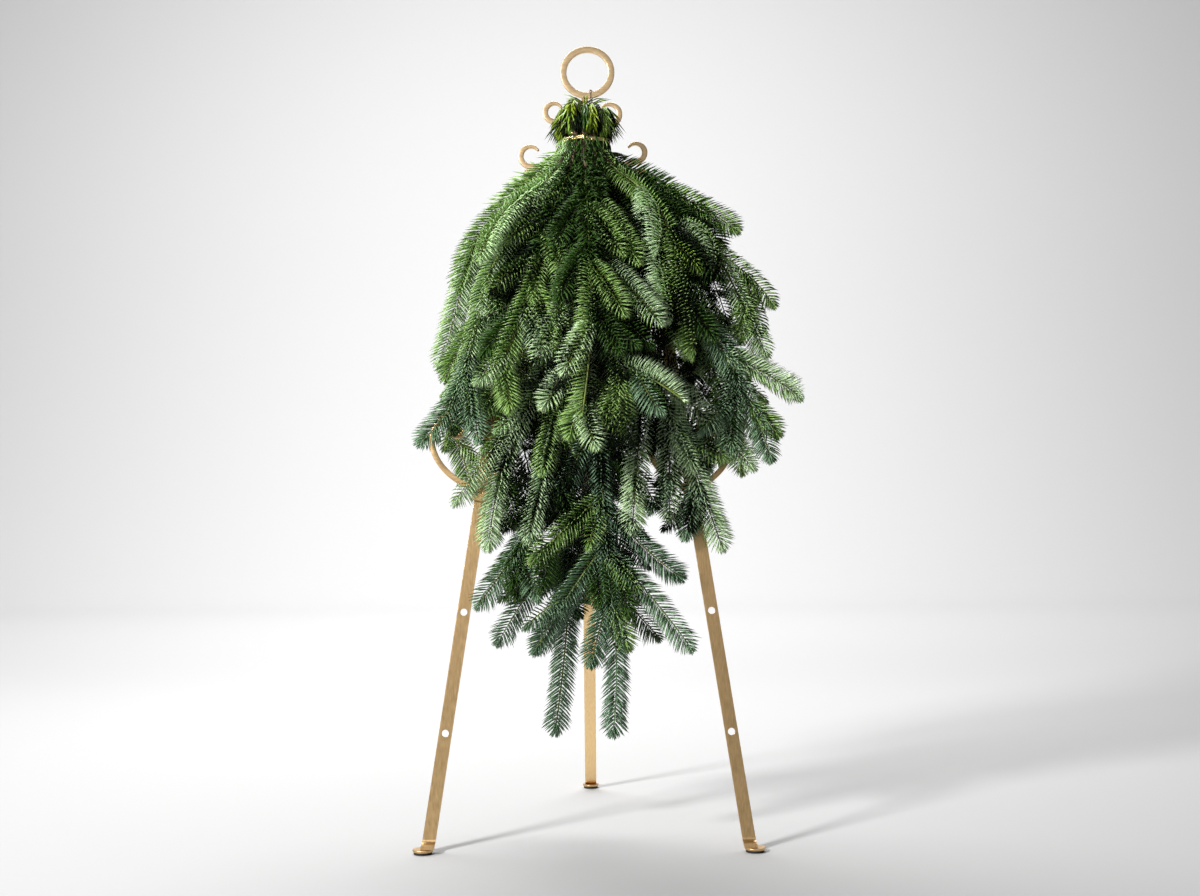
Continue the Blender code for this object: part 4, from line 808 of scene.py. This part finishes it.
def growFoliage():
    sprays = gatherSprays()
    solid = [spray for spray in sprays if spray[3] != "filler"]
    buried = dict(zip([id(spray) for spray in solid],
                      buriedDepths([spray[1] for spray in solid],
                                   [boughs[spray[0]]["face"] for spray in solid])))
    twigs, buds = Pile(), Pile()
    piles = {name: Pile() for name in boughs}
    total = 0
    runs = {}
    looks = {"upper": stemLook, "lower": needleLook, "listed": needleLook,
             "surface": needleLook,
             "filler": dict(needleLook, pitch=fillerLook["pitch"], whorl=fillerLook["whorl"],
                            width=fillerLook["width"], rings=fillerLook["rings"])}
    for spray in sprays:
        name, line, length, kind, number = spray
        bough = boughs[name]
        face = bough["face"]
        if face:
            line, length = shortOfSky(line, length)
            if length < fillerLook["shortest"]:
                continue
        most = 50 if kind == "surface" else 78
        drift = -1.7 * leanOf(face, line[-1] - line[0]) + rng.normal(0, 14)
        sweep, tone = float(np.clip(drift, -most, most)), zoneTone(line[-1])
        if kind == "filler":
            tone = "old" if insideCrown(line[-1], fillerLook["darkest"]) else "deep"
        elif name in shown and number is not None:
            sweep, tone = shown[name][number]
        elif kind in ("listed", "surface"):
            # Shoots buried behind others, and by chance some in front, take the near-black or the
            # deep tone: painted shade.
            depth = buried[id(spray)]
            if depth > buriedLook["old"] and insideCrown(line[-1]):
                tone = "old"
            elif depth > buriedLook["deep"]:
                tone = "deep"
            elif face == 0 and rng.uniform() < darkShare(line[-1]):
                tone = "old" if insideCrown(line[-1]) else "deep"
        if tone == "old" and (line[-1] - frontLine)[2] < buriedLook["lowest"]:
            tone = "deep"
        girth = (0.0008, 0.01)
        look = looks[kind]
        if kind in ("lower", "listed"):
            look = lookOf.get(name, look)
        if kind == "surface" and tone == "old":
            look = dict(look, rings=fillerLook["rings"])
        if kind == "upper":
            limbEnd = outerLimb if bough["ring"] == outerRing else innerLimb
            girth = (0.006, limbEnd)
            stem = at(line, np.linspace(limbEnd / length, 1, 40))
            twigs.add(*twigTube(stem, limbEndRadius * 0.5, 0.0020))
            if abs(sweep) < 20:
                look = shaggyLook
        elif kind == "lower":
            twigs.add(*twigTube(line, 0.0020, 0.0010))
        else:
            # twigs of shoots in the near-black or deep tones get the near-black twig material:
            # painted shade
            twigs.add(*twigTube(line, 0.0018 if kind == "listed" else 0.0013, 0.0008),
                      1 if tone in ("old", "deep") else 0)
        needles = sprayNeedles(line, length, face, sweep, look, 0.0, girth)
        total += addNeedles(piles[name], needles, tone, look["rings"])
        runs[tone] = round(runs.get(tone, 0) + length, 2)
        if rng.uniform() < 0.2 and kind in ("lower", "listed"):
            tip = line[-1] + np.linspace(-0.001, 0.005, 7)[:, None] * unit(line[-1] - line[-2])
            plump = 0.0016 * np.sqrt(np.clip(1 - np.linspace(-1, 1, 7) ** 2, 0.02, 1))
            buds.add(*carried(tip, np.repeat(plump[:, None], 8, axis=1), 8,
                              np.array((0.2, -1, 0.3))))
    for name, pile in piles.items():
        pile.piece(f"needles_{name}", needleMaterials, "needles", f"foliage_{name}")
    twigs.piece("twigs", [twigBark, twigShade], "bark")
    buds.piece("buds", [budScale], "bark")
    triangles = sum(int((sizes - 2).sum()) for pile in piles.values() for sizes in pile.sizes)
    print("foliage grown,", total, "needles,", triangles, "triangles on", runs)


growFoliage()

# Boughs: the bare limbs, from their sawn butts to where the needles start
limbLook = {"sides": 20, "rings": 46, "ridges": 0.06}


def growLimbs():
    names = []
    bundle = Pile()
    for name, bough in boughs.items():
        path = boughPath(bough)
        outer = bough["ring"] == outerRing
        cut = outerLimb if outer else innerLimb
        radius = outerStem if outer else innerStem
        low = at(path, np.linspace(0, cut / bough["length"], limbLook["rings"] * 2 // 3))
        butt = np.array((path[0][0], path[0][1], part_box(f"bough_{name}")[1][2]))
        high = butt + (path[0] - butt) * np.linspace(0, 1, limbLook["rings"] // 3)[:, None]
        line = np.vstack((high[:-1], low))
        share = np.linspace(0, 1, len(line))[:, None]
        taper = radius * np.interp(share, (0, 0.4, 1), (0.93, 0.95, limbEndRadius / radius))
        turn = (np.arange(limbLook["sides"]) / limbLook["sides"] * 2 * math.pi)[None, :]
        seed = rng.uniform(0, 7, 3)
        ridge = (np.sin(5 * turn + 9 * share + seed[0])
                 + 0.7 * np.sin(3 * turn - 23 * share + seed[1])
                 + 0.6 * np.sin(8 * turn + 51 * share + seed[2])) / 2.3
        reach = taper * (1 + limbLook["ridges"] * (ridge - 1))
        vertices, loops, sizes = carried(line, reach, limbLook["sides"],
                                         np.array((0.3, -1, 0.1)))
        slots = np.zeros(len(sizes), int)
        slots[-2 * limbLook["sides"]:-limbLook["sides"]] = 1
        bundle.add(vertices, loops, sizes, slots)
        names.append(f"bough_{name}")
    bundle.piece("limbs", [bark, cutWood], "bark", *names)
    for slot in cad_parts["bough_tuft"].material_slots:
        slot.material = bark
    print("limbs made")


growLimbs()

# Tuft: short sprays over the butts that fold outwards and down, and one that faces the viewer
tuftLook = {"sprays": 14, "rise": 0.047, "length": 0.034, "outs": (66, 40, 0, -26),
            "needle": 0.034, "width": 0.0021, "pitch": 0.0056, "whorl": 7,
            "star": (-0.014, -0.026, -0.002), "collarSprays": 20, "collarRadius": 0.0325,
            "collarTop": 1.026, "collarEnds": (0.994, 0.984)}


def growTuft():
    pile, twigs = Pile(), Pile()
    top = frontLine + np.array((0, bundleY, tieHeight + tuftLook["rise"]))
    look = dict(needleLook, length=tuftLook["needle"], width=tuftLook["width"], sideAngle=26,
                sweptSpread=0, tipAngle=14, upBend=-0.2, sweptBend=0.0, aheadBend=0.30,
                spread=165, pitch=tuftLook["pitch"], whorl=tuftLook["whorl"],
                lengthSpread=0.12, angleSpread=8.0, droop=0.45, shadedFrom=120)
    # Some tuft and collar sprays take the deep and near-black tones: painted shade between the
    # bright ones.
    tones = ("young", "fresh", "deep", "young", "fresh", "deep", "young")
    collarTones = ("deep", "young", "old", "fresh", "old")
    for index in range(tuftLook["sprays"]):
        face = 360 * (index + rng.uniform(-0.25, 0.25)) / tuftLook["sprays"]
        length = tuftLook["length"] * rng.uniform(0.85, 1.1)
        root = top - np.array((0, 0, rng.uniform(0, 0.005)))
        path = grownPath(root, face, (0, rng.uniform(-20, 20)), tuftLook["outs"], length, 24)
        addNeedles(pile, sprayNeedles(path, length, face, 0, look), tones[index % 7])
        twigs.add(*twigTube(path, 0.0012, 0.0007))
    for index in range(tuftLook["collarSprays"]):
        face = 360 * (index + rng.uniform(-0.2, 0.2)) / tuftLook["collarSprays"]
        right, outward = facing(face)
        frontness = max(0.0, math.cos(math.radians(face)))
        low, side = tuftLook["collarEnds"]
        end = side + (low - side) * frontness ** 2
        root = (frontLine + np.array((0, bundleY, tuftLook["collarTop"]))
                + tuftLook["collarRadius"] * outward)
        length = tuftLook["collarTop"] - end
        path = root + np.linspace(0, length, 24)[:, None] * down
        needles = sprayNeedles(path, length, face, 0, dict(look, sideAngle=18, whorl=8))
        addNeedles(pile, needles, collarTones[index % 5])
    star = top + np.array(tuftLook["star"])
    path = grownPath(star, -30, (0, 0), (40, 20), 0.014, 24)
    starLook = dict(look, sideAngle=62, tipAngle=30, spread=180, upBend=0.0, droop=0.9,
                    pitch=0.0022, length=0.042, width=0.0022, shadedFrom=180)
    addNeedles(pile, sprayNeedles(path, 0.014, -30, 0, starLook), "young")
    pile.piece("needles_tuft", needleMaterials, "needles", "foliage_tuft")
    twigs.piece("twigs_tuft", [twigBark], "bark")
    print("tuft grown,", sum(len(part) for part in pile.vertices) // 8, "needles")


growTuft()

# Gold cord: three turns of two twisted plies round the neck, and its knot
cordLook = {"ply": 0.0008, "offset": 0.0007, "pitch": 0.0042, "turns": 3, "rise": 0.0032,
            "drop": 0.009, "knot": (-0.0165, 0.0600, 0.9825), "knotRadius": 0.0019}


def twistedCord(pile, path, plies, plyRadius, offset, pitch, sides=8):
    # ply p's centre is path + offset (cos a over + sin a side), a = 2 pi (s / pitch + p / plies)
    strides = np.linalg.norm(np.diff(path, axis=0), axis=1)
    run = np.concatenate(((0,), np.cumsum(strides)))
    ahead = unit(np.gradient(path, axis=0))
    guide = np.array((0.11, 0.13, 0.98))
    side = unit(np.cross(ahead, np.broadcast_to(guide, path.shape)))
    over = np.cross(side, ahead)
    for ply in range(plies):
        angle = (2 * math.pi * (run / pitch + ply / plies))[:, None]
        line = path + offset * (np.cos(angle) * over + np.sin(angle) * side)
        pile.add(*carried(line, np.full((len(line), sides), plyRadius), sides, guide))


def wrapGoldCord():
    turns = np.linspace(0, 2 * math.pi * cordLook["turns"], 620)
    radius = outerRing + outerStem + 0.0003 + cordLook["ply"] + cordLook["offset"]
    height = (tieHeight - cordLook["drop"] + (turns / turns[-1] - 0.5) * 2 * cordLook["rise"]
              + 0.0008 * np.sin(2.3 * turns))
    line = frontLine + np.stack((radius * np.sin(turns), bundleY - radius * np.cos(turns),
                                 height), axis=1)
    pile = Pile()
    twistedCord(pile, line, 2, cordLook["ply"], cordLook["offset"], cordLook["pitch"])
    knot = frontLine + np.array(cordLook["knot"])
    stack = knot + np.linspace(-1, 1, 9)[:, None] * np.array((cordLook["knotRadius"], 0, 0))
    plump = cordLook["knotRadius"] * np.sqrt(1 - np.linspace(-0.98, 0.98, 9) ** 2)
    pile.add(*carried(stack, np.repeat(plump[:, None], 10, axis=1), 10, planeUp))
    pile.piece("gold_cord", [goldThread], "gold_cord", "gold_tie")


wrapGoldCord()

# Twine: a turn round the neck and a loop over the ring's lower rim
ringLook = {"centre": (0.004, 1.0865), "radius": 0.039, "band": 0.0088, "round": 0.0007}
flatLook = {"thickness": 0.005, "round": 0.0008}
twineLook = {"radius": 0.0012, "ply": 0.00065, "offset": 0.00058, "pitch": 0.0045,
             "height": 1.000, "front": 0.0074, "back": 0.0103}


def smoothLine(points, count):
    # a curve through the points whose slope at each is half the step between its neighbours
    points = np.array(points, float)
    slope = np.gradient(points, axis=0)
    t = np.linspace(0, len(points) - 1.0001, count)
    k = t.astype(int)
    u = (t - k)[:, None]
    a, b, m, n = points[k], points[k + 1], slope[k], slope[k + 1]
    return ((2 * u ** 3 - 3 * u ** 2 + 1) * a + (u ** 3 - 2 * u ** 2 + u) * m
            + (3 * u ** 2 - 2 * u ** 3) * b + (u ** 3 - u ** 2) * n)


def wrapTwine():
    height, front, back = twineLook["height"], twineLook["front"], twineLook["back"]
    radius = outerRing + outerStem + 0.0003 + twineLook["radius"]
    ringX, ringZ = ringLook["centre"]
    inner = ringLook["radius"] - ringLook["band"]
    over = ringZ - math.sqrt(inner ** 2 - (back - ringX) ** 2) + 0.0003 + 1.2 * twineLook["radius"]
    depth = leanBack * over
    half = flatLook["thickness"] / 2 + 2 * twineLook["radius"]
    low = bundleY + math.sqrt(radius ** 2 - back ** 2)
    turns = np.linspace(0.30, 2 * math.pi - 0.30, 90) + math.pi
    neck = np.stack((radius * np.sin(turns), bundleY - radius * np.cos(turns),
                     np.full(90, height)), axis=1)
    loop = smoothLine([(front, low, height), (front, low + 0.010, height + 0.030),
                       (front, depth - half - 0.0010, over - 0.010),
                       (front, depth - half * 0.8, over),
                       ((front + back) / 2, depth, over + 0.0012),
                       (back, depth + half * 0.8, over), (back, depth + half, over - 0.010),
                       (back, depth - 0.001, over - 0.022),
                       (back, low + 0.006, height + 0.014), (back, low, height)], 160)
    pile = Pile()
    for line in (neck, loop):
        twistedCord(pile, frontLine + line, 2, twineLook["ply"], twineLook["offset"],
                    twineLook["pitch"], 6)
    pile.piece("twine", [twineFibre], "twine", "twine_loop")
    print("cord and twine made")


wrapTwine()

# Easel: the flat work is rebuilt smooth, with its edges rounded


def planeHeight(height):
    return height / math.cos(leanAngle)


def roundedSection(halfWidths, halfDepth, corner, steps=4):
    # a rectangle with round corners: across (rows, points) and deep (points), in order
    angles = np.radians(np.concatenate([np.linspace(90 * q, 90 * q + 90, steps)
                                        for q in range(4)]))
    signs = np.repeat(np.array(((1, 1), (-1, 1), (-1, -1), (1, -1))), steps, axis=0)
    halfWidths = np.atleast_1d(halfWidths)[:, None]
    round_ = np.minimum(corner, halfWidths * 0.95)
    across = signs[None, :, 0] * (halfWidths - round_) + round_ * np.cos(angles)[None, :]
    deep = signs[:, 1] * (halfDepth - corner) + corner * np.sin(angles)
    return across, deep


def flatBand(line, halfWidths, offset):
    # A strip in the leaning plane: section point j at station i is line[i] + across aside[i],
    # and deep along the plane's front. Its ends are drawn in to round them.
    ahead = unit(np.gradient(line, axis=0))
    run = np.concatenate(((0,), np.cumsum(np.linalg.norm(np.diff(line, axis=0), axis=1))))
    nearEnd = np.clip(np.minimum(run, run[-1] - run) / 0.0016, 0, 1)
    draw = np.sqrt(np.clip(1 - (1 - nearEnd) ** 2, 0.02, 1))[:, None]
    aside = np.stack((-ahead[:, 1], ahead[:, 0]), axis=1)
    across, deep = roundedSection(halfWidths, flatLook["thickness"] / 2, flatLook["round"])
    flat = line[:, None, :] + (across * draw)[:, :, None] * aside[:, None, :]
    points = (flat[..., :1] * planeRight + flat[..., 1:] * planeUp
              + (offset + deep[None, :] * draw)[..., None] * planeFront)
    loops, sizes = gridFaces(*points.shape[:2])
    ends = np.stack((points[0].mean(axis=0), points[-1].mean(axis=0)))
    return frontLine + np.vstack((points.reshape(-1, 3), ends)), loops, sizes


def faceOutwards(piece):
    shape = bmesh.new()
    shape.from_mesh(piece.data)
    bmesh.ops.recalc_face_normals(shape, faces=shape.faces)
    shape.to_mesh(piece.data)
    shape.free()


def bandPiece(name, node, finish, *mesh):
    pile = Pile()
    pile.add(*mesh)
    faceOutwards(pile.piece(name, [finish], "satin_brass", node))


def bendRing():
    # the section's points lie radius + deep from the ring's centre, and across in front of it
    rows = 128
    turns = np.linspace(0, 2 * math.pi, rows + 1)[:-1]
    x, z = ringLook["centre"]
    out = np.cos(turns)[:, None] * planeRight + np.sin(turns)[:, None] * planeUp
    across, deep = roundedSection(flatLook["thickness"] / 2, ringLook["band"] / 2,
                                  ringLook["round"], 5)
    columns = len(deep)
    middle = ringLook["radius"] - ringLook["band"] / 2
    points = (frontLine + x * planeRight + planeHeight(z) * planeUp
              + (middle + deep)[None, :, None] * out[:, None, :]
              + across[0][None, :, None] * planeFront)
    row, column = np.meshgrid(np.arange(rows), np.arange(columns), indexing="ij")
    after, beside = (row + 1) % rows, (column + 1) % columns
    quads = np.stack((row * columns + column, row * columns + beside, after * columns + beside,
                      after * columns + column), axis=-1)
    bandPiece("ring_band", "ring", brassTopLit, points.reshape(-1, 3), quads.ravel(),
              np.full(rows * columns, 4))


curlLook = {
    "band": 0.0078, "sweep": 236, "tightening": 0.18, "taper": 0.62, "taperStart": 0.45,
    "shoulderRoot": 0.040, "crossbarTop": 0.9437, "postHalf": 0.005,
    "centres": {"shoulder_left": (-0.0768, 0.9635, 0.0193),
                "shoulder_right": (0.0716, 0.9680, 0.0180),
                "neck_left": (-0.0428, 1.0280, 0.0180),
                "neck_right": (0.0342, 1.0246, 0.0198)},
}


def bendCurls():
    # A root that runs out to the curl's bottom, then an arc: at share s the angle is
    # -90 + sweep s and the radius r (1 - tightening s^3). The band tapers to its tip.
    half = curlLook["band"] / 2
    for name, (x, z, reach) in curlLook["centres"].items():
        side = math.copysign(1, x)
        radius = reach - half
        middle = planeHeight(z)
        if name.startswith("shoulder"):
            root = (curlLook["shoulderRoot"],
                    planeHeight(curlLook["crossbarTop"]) + 0.0003 + half)
        else:
            root = (curlLook["postHalf"] + 0.0003, middle - radius)
        share = np.linspace(0, 1, 70)
        angle = np.radians(-90 + curlLook["sweep"] * share)
        r = radius * (1 - curlLook["tightening"] * share ** 3)
        arc = np.stack((abs(x) + r * np.cos(angle), middle + r * np.sin(angle)), axis=1)
        straight = root + (arc[0] - root) * np.linspace(0, 1, 14)[:-1, None]
        line = np.vstack((straight, arc))
        along = np.concatenate((np.zeros(len(straight)), share))
        start = curlLook["taperStart"]
        widths = half * (1 - curlLook["taper"] * np.clip((along - start) / (1 - start), 0, 1))
        bandPiece(f"curl_band_{name}", f"curl_{name}", brassTopLit,
                  *flatBand(line * (side, 1), widths, 0.0))


scrollLook = {"radius": 0.058, "band": 0.0078, "waist": 0.075, "drop": 0.09, "spread": 12,
              "lobeTurn": 128, "lobeRadius": 0.41, "lobeSweep": 292, "lobeTightening": 0.72,
              "front": 0.0111,
              "centres": {"left": (-0.157, 0.5504), "right": (0.144, 0.5455)}}


def bendScrolls():
    # Half a heart: at turn a from straight down the reach is 1 - waist sin(2 a) + drop
    # exp(-a / spread); the lobe then winds in round its own centre on the line's last radius.
    turns = np.radians(np.linspace(0, scrollLook["lobeTurn"], 70))
    low = np.minimum(turns, math.pi / 2)
    reach = (1 - scrollLook["waist"] * np.sin(2 * low)
             + scrollLook["drop"] * np.exp(-turns / math.radians(scrollLook["spread"])))
    outer = np.stack((reach * np.sin(turns), -reach * np.cos(turns)), axis=1)
    share = np.linspace(0, 1, 70)[1:]
    angles = turns[-1] - math.pi / 2 + math.radians(scrollLook["lobeSweep"]) * share
    wound = scrollLook["lobeRadius"] * (1 - scrollLook["lobeTightening"] * share)[:, None]
    lobe = (outer[-1] * (1 - scrollLook["lobeRadius"])
            + wound * np.stack((np.cos(angles), np.sin(angles)), axis=1))
    half = scrollLook["radius"] * np.vstack((outer, lobe))
    line = np.vstack((half[:0:-1] * (-1, 1), half))
    share = np.linspace(0, 1, len(line))
    widths = scrollLook["band"] / 2 * np.clip(0.5 + 4 * np.minimum(share, 1 - share), 0.5, 1)
    for name, (x, z) in scrollLook["centres"].items():
        placed = np.array((x, planeHeight(z))) + line * (math.copysign(1, x), 1)
        bandPiece(f"scroll_band_{name}", f"scroll_{name}", brassAcross,
                  *flatBand(placed, widths, scrollLook["front"]))


def softenedCopy(node, name, finish, width):
    # a merged copy of a solid, its edges bevelled
    made = bpy.data.objects.new(name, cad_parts[node].data.copy())
    shape = bmesh.new()
    shape.from_mesh(made.data)
    bmesh.ops.remove_doubles(shape, verts=shape.verts, dist=0.00002)
    bmesh.ops.dissolve_limit(shape, angle_limit=math.radians(2), verts=shape.verts,
                             edges=shape.edges)
    shape.to_mesh(made.data)
    shape.free()
    made.data.materials.clear()
    made.data.materials.append(finish)
    bpy.context.scene.collection.objects.link(made)
    bevel = made.modifiers.new("edges", "BEVEL")
    bevel.width = width
    bevel.segments = 3
    bevel.limit_method = "ANGLE"
    bevel.angle_limit = math.radians(40)
    made.data.shade_smooth()
    made.data.set_sharp_from_angle(angle=math.radians(40))
    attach(made, "root")
    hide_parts(node)


bendRing()
bendCurls()
bendScrolls()
for node in ("leg_left", "leg_right", "leg_rear", "post"):
    finish = brassRearLit if node == "leg_rear" else brassUpright
    softenedCopy(node, f"{node}_bar", finish, 0.0009)
for node in ("crossbar", "collar_left", "collar_right", "foot_left", "foot_right", "foot_rear"):
    softenedCopy(node, f"{node}_brass", brassAcross, 0.0005)
for node in ("pad_left", "pad_right", "pad_rear"):
    softenedCopy(node, f"{node}_rubber", rubber, 0.0005)
print("easel made")

# Stage: a pale floor that sweeps up into the backdrop, and soft light from the front left. The
# paper is darker on the floor and lighter up the wall, fading between them: painted light.
stageLook = {"half": 6.0, "turn": 3.2, "bend": 1.6, "height": 5.0, "front": -5.0,
             "floor": (0.41, 0.41, 0.41), "wall": (0.64, 0.64, 0.64), "fade": (1.4, 3.6)}
lightLook = {"keyPower": 190, "keySize": 0.6, "keyPlace": (-2.2, -2.2, 2.1), "fillPower": 7,
             "backPower": 160, "world": 0.19}


def makeStage():
    turns = np.radians(np.linspace(0, 90, 25))
    curve = np.stack((stageLook["turn"] + stageLook["bend"] * np.sin(turns),
                      stageLook["bend"] * (1 - np.cos(turns))), axis=1)
    profile = np.vstack(((stageLook["front"], 0.0), curve,
                         (stageLook["turn"] + stageLook["bend"], stageLook["height"])))
    count = len(profile)
    vertices = [(x, y, z) for x in (-stageLook["half"], stageLook["half"]) for y, z in profile]
    faces = [(k, count + k, count + k + 1, k + 1) for k in range(count - 1)]
    mesh = bpy.data.meshes.new("floor")
    mesh.from_pydata(vertices, [], faces)
    mesh.shade_smooth()
    # the paper's colour fades from the floor's to the wall's along the depth: painted light
    paper = principled("paper", stageLook["floor"], 0.9)
    tree = paper.node_tree
    place = addNode(paper, "ShaderNodeTexCoord")
    depth = addNode(paper, "ShaderNodeSeparateXYZ")
    fade = addNode(paper, "ShaderNodeMapRange")
    fade.interpolation_type = "SMOOTHSTEP"
    fade.inputs["From Min"].default_value, fade.inputs["From Max"].default_value = stageLook["fade"]
    ramp = addNode(paper, "ShaderNodeValToRGB")
    for element, name in zip(ramp.color_ramp.elements, ("floor", "wall")):
        element.color = (*stageLook[name], 1)
    tree.links.new(place.outputs["Object"], depth.inputs["Vector"])
    tree.links.new(depth.outputs["Y"], fade.inputs["Value"])
    tree.links.new(fade.outputs["Result"], ramp.inputs["Fac"])
    tree.links.new(ramp.outputs["Color"], tree.nodes["Principled BSDF"].inputs["Base Color"])
    mesh.materials.append(paper)
    floor = bpy.data.objects.new("floor", mesh)
    bpy.context.scene.collection.objects.link(floor)


def areaLight(name, place, target, size, power):
    data = bpy.data.lights.new(name, "AREA")
    data.shape = "DISK"
    data.size = size
    data.energy = power
    made = bpy.data.objects.new(name, data)
    made.location = place
    made.rotation_euler = (Vector(place) - Vector(target)).to_track_quat("Z", "Y").to_euler()
    bpy.context.scene.collection.objects.link(made)


makeStage()
areaLight("key", lightLook["keyPlace"], (0, 0, 0.6), lightLook["keySize"], lightLook["keyPower"])
areaLight("fill", (0.2, -3.6, 2.2), (0, 0, 0.5), 2.4, lightLook["fillPower"])
areaLight("backdropLight", (-0.3, 1.2, 2.6), (0, 2.9, 0.0), 2.5, lightLook["backPower"])
world = bpy.data.worlds.new("studio")
world.use_nodes = True
world.node_tree.nodes["Background"].inputs["Strength"].default_value = lightLook["world"]
world.node_tree.nodes["Background"].inputs["Color"].default_value = (1, 1, 1, 1)
bpy.context.scene.world = world
print("stage and light made")
